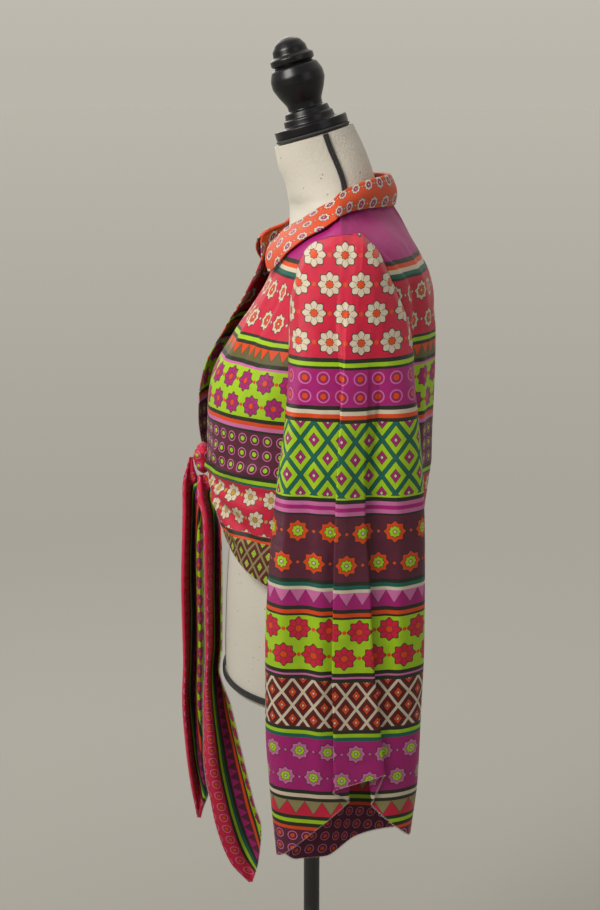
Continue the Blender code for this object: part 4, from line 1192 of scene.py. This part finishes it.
def banded(finish, s, down, rows):
    """Level bands: each (start, repeat, size, ground, line, heart) runs to the next start."""
    stops = [(row[0], row[3]) for row in rows]
    colour = finish.ramp(down, stops[:RAMP_STOPS])
    rest = stops[RAMP_STOPS:]
    if rest:
        colour = finish.mix(down.over(rest[0][0], 0.0001), colour, finish.ramp(down, rest))
    ends = [row[0] for row in rows[1:]] + [rows[-1][0] + 1.0]
    for (start, repeat, size, *colours), end in zip(rows, ends):
        if repeat != "plain":
            made = REPEATS[repeat](finish, s, down - start, size, *colours)
            colour = finish.mix(down.between(start, end, 0.0001), colour, made)
    return colour


def cord(start, *colours, deep=0.0045):
    """Narrow plain stripes one after another."""
    return [(start + deep * number, "plain", 0, colour, colour, colour)
            for number, colour in enumerate(colours)]


def drape_light(finish):
    """Slow change of roughness and fine weave with soft crumples, for satin."""
    place = finish.node("ShaderNodeTexCoord", out=3)
    crumple = finish.noise(place, 21.0, 3.0)
    s, t = finish.map("cloth")
    twill = ((s + t) * 5200.0).change("SINE")
    roughness = crumple * 0.16 + 0.34
    return roughness, crumple + twill * 0.02


def satin(finish, colour):
    """Printed satin: soft lengthwise gloss, darker in soft patches spread at random."""
    roughness, bump = drape_light(finish)
    place = finish.node("ShaderNodeTexCoord", out=3)
    dark_patches = finish.noise(place, 11.0, 2.0)
    # the cloth is mixed towards dark brown in soft random patches of noise
    toned = finish.mix(dark_patches * 0.16, colour, (0.10, 0.07, 0.06))
    return finish.close(toned, roughness, bump, 0.0042, Specular_IOR_Level=0.24)


# Bands of plain geometric repeats: metres down the piece; the repeat; its size; ground,
# line and heart
BODY_BANDS = [
    (0.000, "plain", 0, MAGENTA, PINK, ORANGE),
    *cord(0.070, NIGHT, ORANGE, CREAM, TEAL, NIGHT),
    (0.0925, "stars", 0.034, CRIMSON, CREAM, ORANGE),
    *cord(0.1600, NIGHT, LIME, NIGHT),
    (0.1735, "teeth", 0.016, OLIVE, ORANGE, GOLD),
    *cord(0.1890, NIGHT, PINK),
    (0.1980, "daisies", 0.032, LIME, MAGENTA, ORANGE),
    *cord(0.2550, NIGHT, ORANGE, PINK, NIGHT),
    (0.2730, "rings", 0.018, WINE, PINK, LIME),
    *cord(0.3270, NIGHT, LIME, TEAL),
    (0.3405, "daisies", 0.030, CRIMSON, CREAM, GOLD),
    *cord(0.4000, NIGHT, ORANGE),
    (0.4090, "trellis", 0.022, DARK_RED, KHAKI, LIME),
]
SLEEVE_BANDS = [
    (-0.092, "daisies", 0.034, CRIMSON, CREAM, ORANGE),
    *cord(0.0610, NIGHT, LIME, NIGHT),
    (0.0745, "rings", 0.020, MAGENTA, PINK, ORANGE),
    *cord(0.1145, NIGHT, CREAM, ORANGE, NIGHT),
    (0.1325, "trellis", 0.030, LIME, TEAL, MAGENTA),
    *cord(0.2150, NIGHT, PINK, MAGENTA, PINK, NIGHT),
    (0.2375, "stars", 0.036, WINE, ORANGE, LIME),
    *cord(0.3095, NIGHT, TEAL, CREAM),
    (0.3230, "teeth", 0.018, MAGENTA, PINK, GOLD),
    *cord(0.3400, NIGHT, ORANGE, NIGHT),
    (0.3535, "daisies", 0.034, LIME, CRIMSON, ORANGE),
    *cord(0.4147, NIGHT, PINK, NIGHT),
    (0.4282, "trellis", 0.024, DARK_RED, CREAM, ORANGE),
    *cord(0.4850, NIGHT, LIME, TEAL),
    (0.4985, "stars", 0.032, MAGENTA, PINK, LIME),
    *cord(0.5625, NIGHT, CREAM, NIGHT),
    (0.5760, "teeth", 0.020, CRIMSON, KHAKI, GOLD),
    *cord(0.5945, NIGHT, LIME, NIGHT, ORANGE),
    (0.6125, "rings", 0.016, WINE, PINK, ORANGE),
]
TIE_BANDS = [
    (-0.010, "rings", 0.016, CRIMSON, PINK, ORANGE),
    *cord(0.0220, NIGHT, LIME, TEAL, NIGHT),
    (0.0400, "teeth", 0.014, WINE, MAGENTA, GOLD),
    *cord(0.0520, ORANGE, NIGHT),
    (0.0610, "daisies", 0.024, LIME, MAGENTA, ORANGE),
]
SLEEVE_HEAD_HEIGHT = 1.320
BODY_TOP = 1.425


def below(finish, top):
    """How far below a level the cloth is, so that bands lie level on the body."""
    return top - finish.parts(finish.node("ShaderNodeTexCoord", out=3))[2]


def body_print(name):
    finish = Finish(name)
    s, _ = finish.map("cloth")
    return satin(finish, banded(finish, s, below(finish, BODY_TOP), BODY_BANDS))


def sleeve_print():
    finish = Finish("printed_satin_sleeve")
    s, t = finish.map("cloth")
    return satin(finish, banded(finish, s, SLEEVE_HEAD_HEIGHT - t, SLEEVE_BANDS))


def collar_print():
    finish = Finish("printed_satin_collar")
    s, t = finish.map("cloth")
    return satin(finish, stars(finish, s, t, 0.024, ORANGE, CREAM, MAGENTA))


def tie_print():
    """Bands along the tie's length, not across it."""
    finish = Finish("printed_satin_tie")
    s, t = finish.map("cloth")
    return satin(finish, banded(finish, t, s, TIE_BANDS))


def knot_print():
    finish = Finish("printed_satin_knot")
    s, t = finish.map("cloth")
    return satin(finish, rings(finish, s, t, 0.014, CRIMSON, PINK, LIME))


def cover_finish():
    """The form's close knitted cover, off-white with small dark specks."""
    finish = Finish("form_cover")
    place = finish.node("ShaderNodeTexCoord", out=3)
    fleck = finish.node("ShaderNodeTexVoronoi", {}, {"Vector": place, "Scale": 150.0, "Randomness": 1.0})
    rare = finish.parts(Wire(finish, fleck.socket.node.outputs["Color"]))[0]
    speck = (1 - fleck.over(0.16, 0.03)) * rare.over(0.80, 0.01)
    cloud = finish.noise(place, 7.0, 3.0)
    base = finish.mix(cloud, (0.50, 0.475, 0.405), (0.60, 0.57, 0.50))
    x, y, z = finish.parts(place)
    knit = (z * 4200.0).change("SINE") * ((x + y) * 4200.0).change("SINE")
    weave = finish.noise(place, 260.0, 2.0)
    return finish.close(finish.mix(speck, base, (0.28, 0.24, 0.19)), weave * 0.1 + 0.8,
                        weave + knit * 0.3, 0.0006, Sheen_Weight=0.15)


def lacquer_finish():
    finish = Finish("black_lacquer")
    place = finish.node("ShaderNodeTexCoord", out=3)
    fine = finish.noise(place, 60.0, 3.0)
    dust = finish.noise(place, 900.0, 1.0)
    colour = finish.mix(dust.over(0.68, 0.03) * 0.4, (0.004, 0.004, 0.005), (0.04, 0.039, 0.037))
    return finish.close(colour, fine * 0.14 + 0.24, fine, 0.0003, Specular_IOR_Level=0.30)


def braid_finish():
    finish = Finish("black_braid")
    place = finish.node("ShaderNodeTexCoord", out=3)
    lint = finish.noise(place, 420.0, 3.0)
    colour = finish.mix(lint.over(0.60, 0.08) * 0.6, (0.006, 0.006, 0.007), (0.035, 0.034, 0.034))
    return finish.close(colour, lint * 0.2 + 0.62, lint, 0.0008, Sheen_Weight=0.2)


def metal_finish():
    finish = Finish("black_metal")
    place = finish.node("ShaderNodeTexCoord", out=3)
    grain = finish.noise(place, 700.0, 2.0)
    rub = finish.noise(place, 26.0, 3.0)
    colour = finish.mix(rub.over(0.62, 0.06) * 0.4, (0.010, 0.010, 0.011), (0.045, 0.044, 0.043))
    return finish.close(colour, rub * 0.15 + 0.33, grain, 0.0003, Specular_IOR_Level=0.5)


def thread_finish(name, colour):
    finish = Finish(name)
    place = finish.node("ShaderNodeTexCoord", out=3)
    lint = finish.noise(place, 800.0, 2.0)
    shade = finish.mix(lint, tuple(0.7 * c for c in colour), colour)
    return finish.close(shade, lint * 0.2 + 0.7, lint, 0.0003, Sheen_Weight=0.3)


def floor_finish():
    """Pale grey far out, with painted shade round the stand: much darker towards it."""
    finish = Finish("pale_floor")
    place = finish.node("ShaderNodeTexCoord", out=3)
    x, y, _ = finish.parts(place)
    away = (x * x + y * y).change("SQRT")
    share = away / (away + 2.4)
    # painted shade: the floor colour runs from dark at the stand to pale far out, standing in for the shade round it
    colour = finish.mix(share, (0.20, 0.193, 0.168), (0.80, 0.795, 0.745))
    grain = finish.noise(place, 3.0, 2.0)
    return finish.close(colour, grain * 0.05 + 0.85)


# Form and stand

def build_form(finish):
    levels = np.concatenate([np.linspace(NECK_TOP, 1.430, 14), np.linspace(1.427, 1.345, 34),
                             np.linspace(1.340, 0.815, 90), [0.808, FORM_BOTTOM]])
    around = 128
    rings = [form_point(np.arange(around) * 360 / around, np.full(around, z)) for z in levels]
    rings[-1][:, :2] = rings[-1][:, :2] * 0.994
    points = np.concatenate(rings)
    faces = [list(range(around)), list(range(len(points) - around, len(points)))]
    for j in range(len(levels) - 1):
        for i in range(around):
            after = (i + 1) % around
            faces.append([j * around + i, j * around + after,
                          (j + 1) * around + after, (j + 1) * around + i])
    return solid("form_cover", [Vector(point) for point in points], faces, finish)


def neck_frame():
    ring = form_point(np.arange(36) * 10.0, np.full(36, NECK_TOP))
    tilt = Matrix.Rotation(math.radians(NECK_TILT), 4, "X")
    return Matrix.Translation(Vector(ring.mean(axis=0))) @ tilt


def softened(profile, steps=4):
    """The profile with its corners rounded, as a lathe leaves them."""
    points = [np.array(profile[0])]
    for before, here, after in zip(profile, profile[1:], profile[2:]):
        before, here, after = np.array(before), np.array(here), np.array(after)
        for k in range(steps + 1):
            u = k / steps
            start = mix(here, before, 0.24)
            end = mix(here, after, 0.24)
            points.append((1 - u) ** 2 * start + 2 * u * (1 - u) * here + u * u * end)
    points.append(np.array(profile[-1]))
    return points


def turned(name, profile, place, finish, around=96, top=None):
    points = []
    for radius, height in profile:
        for i in range(around):
            turn = 2 * math.pi * i / around
            points.append(place @ Vector((radius * math.cos(turn), radius * math.sin(turn), height)))
    faces = [list(range(around))]
    for j in range(len(profile) - 1):
        for i in range(around):
            after = (i + 1) % around
            faces.append([j * around + i, j * around + after,
                          (j + 1) * around + after, (j + 1) * around + i])
    last = (len(profile) - 1) * around
    if top is None:
        faces.append([last + i for i in range(around)])
    else:
        points.append(place @ Vector((0, 0, top)))
        faces += [[last + i, last + (i + 1) % around, len(points) - 1] for i in range(around)]
    return solid(name, points, faces, finish, sharp=32)


def tube(name, centres, outwards, ups, half_out, half_up, finish, closed, sides=10):
    """A rounded band along a line of centres."""
    points = []
    for centre, outward, up in zip(centres, outwards, ups):
        for k in range(sides):
            turn = 2 * math.pi * (k + 0.5) / sides
            square = (abs(math.cos(turn)) ** 3 + abs(math.sin(turn)) ** 3) ** (-1 / 3)
            points.append(Vector(centre + outward * math.cos(turn) * square * half_out
                                 + up * math.sin(turn) * square * half_up))
    count = len(centres)
    faces = []
    for i in range(count if closed else count - 1):
        after = (i + 1) % count
        for k in range(sides):
            beside = (k + 1) % sides
            faces.append([i * sides + k, i * sides + beside, after * sides + beside, after * sides + k])
    if not closed:
        faces.append(list(range(sides)))
        faces.append(list(range((count - 1) * sides, count * sides)))
    return solid(name, points, faces, finish, sharp=70)


def stitch_tree(name):
    """Short pieces repeated along a line, each turned to follow it."""
    tree = bpy.data.node_groups.new(name, "GeometryNodeTree")
    face = tree.interface
    face.new_socket("Line", in_out="INPUT", socket_type="NodeSocketGeometry")
    for label, kind in (("Spacing", "NodeSocketFloat"), ("Length", "NodeSocketFloat"),
                        ("Thickness", "NodeSocketFloat"), ("Slant", "NodeSocketFloat"),
                        ("Wander", "NodeSocketFloat"), ("Finish", "NodeSocketMaterial")):
        face.new_socket(label, in_out="INPUT", socket_type=kind)
    face.new_socket("Stitches", in_out="OUTPUT", socket_type="NodeSocketGeometry")

    def add(kind, settings=None, links=None):
        made = tree.nodes.new(kind)
        for key, value in (settings or {}).items():
            setattr(made, key, value)
        for key, value in (links or {}).items():
            if isinstance(value, bpy.types.NodeSocket):
                tree.links.new(value, made.inputs[key])
            else:
                made.inputs[key].default_value = value
        return made

    given = add("NodeGroupInput").outputs
    points = add("GeometryNodeCurveToPoints", {"mode": "LENGTH"},
                 {"Curve": given["Line"], "Length": given["Spacing"]})
    shape = add("GeometryNodeMeshUVSphere", None, {"Segments": 8, "Rings": 5, "Radius": 0.5})
    size = add("ShaderNodeCombineXYZ", None,
               {0: given["Thickness"], 1: given["Thickness"], 2: given["Length"]})
    chance = add("FunctionNodeRandomValue", {"data_type": "FLOAT"}, {"Seed": 7})
    chance.inputs[2].default_value = -1.0
    chance.inputs[3].default_value = 1.0
    wander = add("ShaderNodeMath", {"operation": "MULTIPLY_ADD"},
                 {0: chance.outputs[1], 1: given["Wander"], 2: given["Slant"]})
    lean = add("ShaderNodeCombineXYZ", None, {0: 0.0, 1: wander.outputs[0], 2: 0.0})
    turn = add("FunctionNodeEulerToRotation", None, {0: lean.outputs[0]})
    both = add("FunctionNodeRotateRotation", {"rotation_space": "LOCAL"},
               {0: points.outputs["Rotation"], 1: turn.outputs[0]})
    placed = add("GeometryNodeInstanceOnPoints", None,
                 {"Points": points.outputs["Points"], "Instance": shape.outputs["Mesh"],
                  "Rotation": both.outputs[0], "Scale": size.outputs[0]})
    real = add("GeometryNodeRealizeInstances", None, {0: placed.outputs[0]})
    smoothed = add("GeometryNodeSetShadeSmooth", None, {0: real.outputs[0]})
    finished = add("GeometryNodeSetMaterial", None,
                   {"Geometry": smoothed.outputs[0], "Material": given["Finish"]})
    add("NodeGroupOutput", None, {"Stitches": finished.outputs[0]})
    return tree


def stitches(tree, name, lines, finish, closed=False, **sizes):
    """A plain mesh of stitches along lines of points."""
    curve = bpy.data.curves.new(name + "_line", "CURVE")
    curve.dimensions = "3D"
    for line in lines:
        spline = curve.splines.new("POLY")
        spline.points.add(len(line) - 1)
        spline.points.foreach_set("co", np.column_stack([line, np.ones(len(line))]).ravel())
        spline.use_cyclic_u = closed
    source = bpy.data.objects.new(name + "_line", curve)
    bpy.context.scene.collection.objects.link(source)
    modifier = source.modifiers.new("stitches", "NODES")
    modifier.node_group = tree
    keys = {item.name: item.identifier for item in tree.interface.items_tree if item.in_out == "INPUT"}
    for label, value in {**sizes, "Finish": finish}.items():
        modifier[keys[label]] = value
    evaluated = source.evaluated_get(bpy.context.evaluated_depsgraph_get())
    mesh = bpy.data.meshes.new_from_object(evaluated)
    mesh.name = name
    mesh.materials.clear()
    mesh.materials.append(finish)
    source.modifiers.remove(modifier)
    bpy.data.objects.remove(source)
    made = bpy.data.objects.new(name, mesh)
    bpy.context.scene.collection.objects.link(made)
    return made


def form_frame(degrees, z):
    here = form_point(degrees, z)
    around = unit(form_point(degrees + 1, z) - form_point(degrees - 1, z))
    down = form_point(degrees, z - 0.002) - form_point(degrees, z + 0.002)
    return here, unit(np.cross(down, around)), around


def build_trims(tree, finish):
    """Black braid: side tapes, the band round the bottom and the cord under the cap."""
    made = []
    levels = np.concatenate([np.linspace(NECK_TOP - 0.001, 1.345, 60), np.linspace(1.340, 0.826, 90)])
    for name, turn in (("braid_side_left", 1), ("braid_side_right", -1)):
        degrees = (95 + 11 * smooth(1.36, 1.44, levels)) * turn % 360
        here, outward, around = form_frame(degrees, levels)
        centres = here + outward * (GAP + TAPE_DEPTH / 2)
        band = tube(name, centres, outward, around, TAPE_DEPTH / 2 * 0.8, TAPE_WIDTH / 2 * 0.92,
                    finish, False)
        lines = [centres + outward * TAPE_DEPTH * 0.30 + around * aside for aside in (-0.0024, 0.0, 0.0024)]
        weave = stitches(tree, name + "_weave", lines, finish, Spacing=0.0024, Length=0.0034,
                         Thickness=0.0013, Slant=0.7, Wander=0.08)
        made.append((band, weave))
    middle = TRIM_BOTTOM + TRIM_HEIGHT / 2 - 0.0005
    degrees = np.arange(120) * 3.0
    here, outward, _ = form_frame(degrees, np.full(120, middle))
    flat = unit(outward * np.array((1, 1, 0)))
    up = np.tile(np.array((0.0, 0.0, 1.0)), (120, 1))
    centres = here + flat * (GAP + TRIM_DEPTH / 2)
    band = tube("braid_bottom", centres, flat, up, TRIM_DEPTH / 2 * 0.85, TRIM_HEIGHT / 2 * 0.94,
                finish, True)
    lines = [centres + flat * TRIM_DEPTH * 0.34 + up * high for high in (-0.0030, 0.0, 0.0030)]
    weave = stitches(tree, "braid_bottom_weave", lines, finish, closed=True, Spacing=0.0028, Length=0.0038,
                     Thickness=0.0016, Slant=0.7, Wander=0.08)
    made.append((band, weave))
    frame_here = neck_frame()
    turns = np.radians(np.arange(96) * 3.75)
    cord = 0.0026
    outward = np.array([frame_here.to_3x3() @ Vector((math.cos(a), math.sin(a), 0)) for a in turns])
    up = np.tile(np.array(frame_here.to_3x3() @ Vector((0, 0, 1))), (96, 1))
    centres = np.array(frame_here.translation) + up * (cord + GAP) + outward * 0.0428
    band = tube("braid_neck", centres, outward, up, cord * 0.8, cord * 0.9, finish, True)
    weave = stitches(tree, "braid_neck_weave", [centres + outward * 0.0010], finish, closed=True,
                     Spacing=0.0022, Length=0.0044, Thickness=0.0024, Slant=0.8, Wander=0.1)
    made.append((band, weave))
    return made


def edge_points(piece, rows, count, pick):
    """Middle points of a wall's edge: pick chooses (row, column) pairs of its grid."""
    points = np.array([vertex.co for vertex in piece.data.vertices]).reshape(2, rows, count, 3)
    return points.mean(axis=0)[pick]


def edge_lines(front_left, front_right, sleeves, ties):
    """Where the pale overlocked edges show: sleeve hems, front hems and tie edges."""
    stations = sum(run[1] for run in SLEEVE_RUNS) + INNER_POINTS
    rows = len(SLEEVE_ROWS)
    lines = {}
    for side, sleeve in zip(("left", "right"), sleeves):
        ring = edge_points(sleeve, rows, stations, (np.full(stations, rows - 1), np.arange(stations)))
        lines["sleeve_" + side] = [np.concatenate([ring, ring[:1]])]
    fronts = len(seam_rows()[0])
    for side, front in (("left", front_left), ("right", front_right)):
        lines["front_" + side] = [edge_points(front, fronts, FRONT_COLUMNS,
                                              (np.full(FRONT_COLUMNS, fronts - 1), np.arange(FRONT_COLUMNS)))]
    for side, tie in zip(("left", "right"), ties):
        down = np.arange(20, TIE_ROWS)
        lines["tie_" + side] = [edge_points(tie, TIE_ROWS, TIE_COLUMNS, (down, np.full(len(down), column)))
                                for column in (0, TIE_COLUMNS - 1)]
    return lines


def main():
    tree = stitch_tree("stitch_run")
    prints = {"front": body_print("printed_satin_front"), "back": body_print("printed_satin_back"),
              "sleeve": sleeve_print(), "collar": collar_print(), "tie": tie_print(), "knot": knot_print()}
    cover, lacquer, braid, metal = cover_finish(), lacquer_finish(), braid_finish(), metal_finish()
    overlock = thread_finish("cream_overlock", (0.62, 0.55, 0.47))

    def keep(piece, slot, *nodes):
        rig.ride(piece, "root")
        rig.slot(piece, slot)
        if nodes:
            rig.replaces(piece, *nodes)
        return piece

    keep(build_form(cover), "form_cover", "form_body")
    frame_here = neck_frame()
    lifted = frame_here @ Matrix.Translation((0, 0, 2 * 0.0026 + 2 * GAP))
    keep(turned("turned_neck_cap", softened(CAP_PROFILE), lifted, lacquer, top=CAP_TOP),
         "black_lacquer", "neck_cap")
    nodes = ("side_tape_left", "side_tape_right", "bottom_trim", "neck_trim")
    for (band, weave), node in zip(build_trims(tree, braid), nodes):
        keep(band, "black_braid", node)
        keep(weave, "black_braid")
    plain = Matrix.Identity(4)
    base = [(BASE_RADIUS - 0.002, 0.0), (BASE_RADIUS, 0.002), (BASE_RADIUS, BASE_HEIGHT - 0.006),
            (BASE_RADIUS - 0.006, BASE_HEIGHT), (0.024, BASE_HEIGHT + 0.004), (0.020, BASE_HEIGHT + 0.018)]
    keep(turned("spun_base", [base[0]] + softened(base)[1:], plain, metal), "black_metal", "base")
    foot = BASE_HEIGHT + 0.018 + GAP
    head = FORM_BOTTOM - SOCKET_HEIGHT - 2 * GAP
    keep(turned("steel_pole", [(POLE_RADIUS, foot), (POLE_RADIUS, head)], plain, metal, around=64),
         "black_metal", "pole")
    low = head + GAP
    socket = [(0.016, low), (0.018, low + 0.006), (SOCKET_RADIUS, low + 0.009),
              (SOCKET_RADIUS, FORM_BOTTOM - GAP)]
    keep(turned("pole_collar", softened(socket), plain, metal, around=64), "black_metal", "pole_socket")

    sheets = []
    front_left = build_front("cloth_front_left", 1, prints["front"])
    front_right = build_front("cloth_front_right", -1, prints["front"])
    sheets.append((keep(front_left, "printed_satin_body", "front_left"), FLAT["front"]))
    sheets.append((keep(front_right, "printed_satin_body", "front_right"), FLAT["front"]))
    sheets.append((keep(build_back(prints["back"]), "printed_satin_back", "back"), FLAT["back"]))
    sleeves = [build_sleeve("cloth_sleeve_left", 1, prints["sleeve"]),
               build_sleeve("cloth_sleeve_right", -1, prints["sleeve"])]
    for piece, node in zip(sleeves, ("sleeve_left", "sleeve_right")):
        sheets.append((keep(piece, "printed_satin_sleeve", node), FLAT["sleeve"]))
    stand, leaf = build_collar(prints)
    sheets.append((keep(stand, "printed_satin_collar", "collar_stand"), FLAT["stand"]))
    sheets.append((keep(leaf, "printed_satin_collar", "collar_leaf"), FLAT["leaf"]))
    keep(build_knot(prints["knot"]), "printed_satin_tie", "knot")
    ties = [build_tie("cloth_tie_left", TIE_LEFT, 1.0, 0.4, prints["tie"]),
            build_tie("cloth_tie_right", TIE_RIGHT, 1.5, 1.9, prints["tie"])]
    for piece, node in zip(ties, ("tie_left", "tie_right")):
        sheets.append((keep(piece, "printed_satin_tie", node), FLAT["tie"]))
    for name, lines in edge_lines(front_left, front_right, sleeves, ties).items():
        keep(stitches(tree, "overlock_" + name, lines, overlock, Spacing=0.0016, Length=0.0042,
                      Thickness=0.0007, Slant=1.25, Wander=0.35), "printed_satin_body")
    for piece, (size, area, held, rests) in sheets:
        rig.sheet(piece, flat=size, held=held, rests_on=rests, area=area)


def build_studio():
    place = Matrix.Translation(Vector(CAMERA_PLACE)) @ Matrix.Rotation(math.pi / 2, 4, "Z") \
        @ Matrix.Rotation(math.pi / 2 - CAMERA_DOWN, 4, "X")
    camera = bpy.data.cameras.new("camera")
    camera.sensor_fit = "VERTICAL"
    camera.sensor_height = 36.0
    camera.lens = PIXELS_PER_SLOPE / 910 * 36
    camera.clip_end = 200.0
    eye = bpy.data.objects.new("camera", camera)
    eye.matrix_world = place
    bpy.context.scene.collection.objects.link(eye)
    bpy.context.scene.camera = eye
    floor = bpy.data.meshes.new("floor")
    floor.from_pydata([(-60, -60, 0), (60, -60, 0), (60, 60, 0), (-60, 60, 0)], [], [(0, 1, 2, 3)])
    floor.materials.append(floor_finish())
    ground = bpy.data.objects.new("floor", floor)
    bpy.context.scene.collection.objects.link(ground)
    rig.stage(ground)
    lights = [("key", (0.95, -1.05, 2.25), (0.05, 0.0, 1.35), 0.9, 34.0, (1.0, 0.96, 0.90)),
              ("fill", (1.6, 1.3, 2.2), (0.0, 0.0, 1.30), 1.4, 5.0, (0.98, 0.98, 1.0)),
              ("behind", (-1.8, -0.6, 2.4), (0.0, 0.0, 1.1), 1.6, 12.0, (1.0, 0.97, 0.93))]
    for name, here, aim, size, power, colour in lights:
        light = bpy.data.lights.new(name, "AREA")
        light.shape = "DISK"
        light.size = size
        light.energy = power
        light.color = colour
        made = bpy.data.objects.new(name, light)
        made.location = here
        made.rotation_euler = (Vector(here) - Vector(aim)).to_track_quat("Z", "Y").to_euler()
        bpy.context.scene.collection.objects.link(made)
    world = bpy.data.worlds.new("studio")
    world.use_nodes = True
    tree = world.node_tree
    sky = tree.nodes["Background"]
    height = tree.nodes.new("ShaderNodeSeparateXYZ")
    blend = tree.nodes.new("ShaderNodeMix")
    blend.data_type = "RGBA"
    blend.inputs[6].default_value = (0.494, 0.469, 0.407, 1.0)
    blend.inputs[7].default_value = (1.05, 1.0, 0.93, 1.0)
    side = tree.nodes.new("ShaderNodeMapRange")
    side.inputs[1].default_value = -0.5
    side.inputs[2].default_value = 0.9
    side.inputs[3].default_value = 1.0
    side.inputs[4].default_value = 0.24
    tree.links.new(tree.nodes.new("ShaderNodeTexCoord").outputs["Generated"], height.inputs[0])
    tree.links.new(height.outputs[0], side.inputs[0])
    tree.links.new(height.outputs[2], blend.inputs[0])
    tree.links.new(blend.outputs[2], sky.inputs["Color"])
    tree.links.new(side.outputs[0], sky.inputs["Strength"])
    bpy.context.scene.world = world
    bpy.context.scene.view_settings.view_transform = "Standard"


# The sheets as they were cut: (width, length), area, how held, what they rest on
FLAT = {
    "front": ((0.260, 0.440), 0.0830, "draped", ["form_cover"]),
    "back": ((0.480, 0.520), 0.1840, "draped", ["form_cover"]),
    "sleeve": ((0.560, 0.720), 0.2850, "hung", ["cloth_back"]),
    "stand": ((0.026, 0.400), 0.0083, "draped", ["form_cover"]),
    "leaf": ((0.064, 0.450), 0.0275, "draped", ["cloth_back"]),
    "tie": ((0.090, 0.520), 0.0360, "hung", ["cloth_knot"]),
}

main()
build_studio()
json.dump({"cad": [list(map(float, corner)) for corner in CAD_BOX],
           "visual": [list(map(float, corner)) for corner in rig.bounds()]},
          open("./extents.json", "w"))
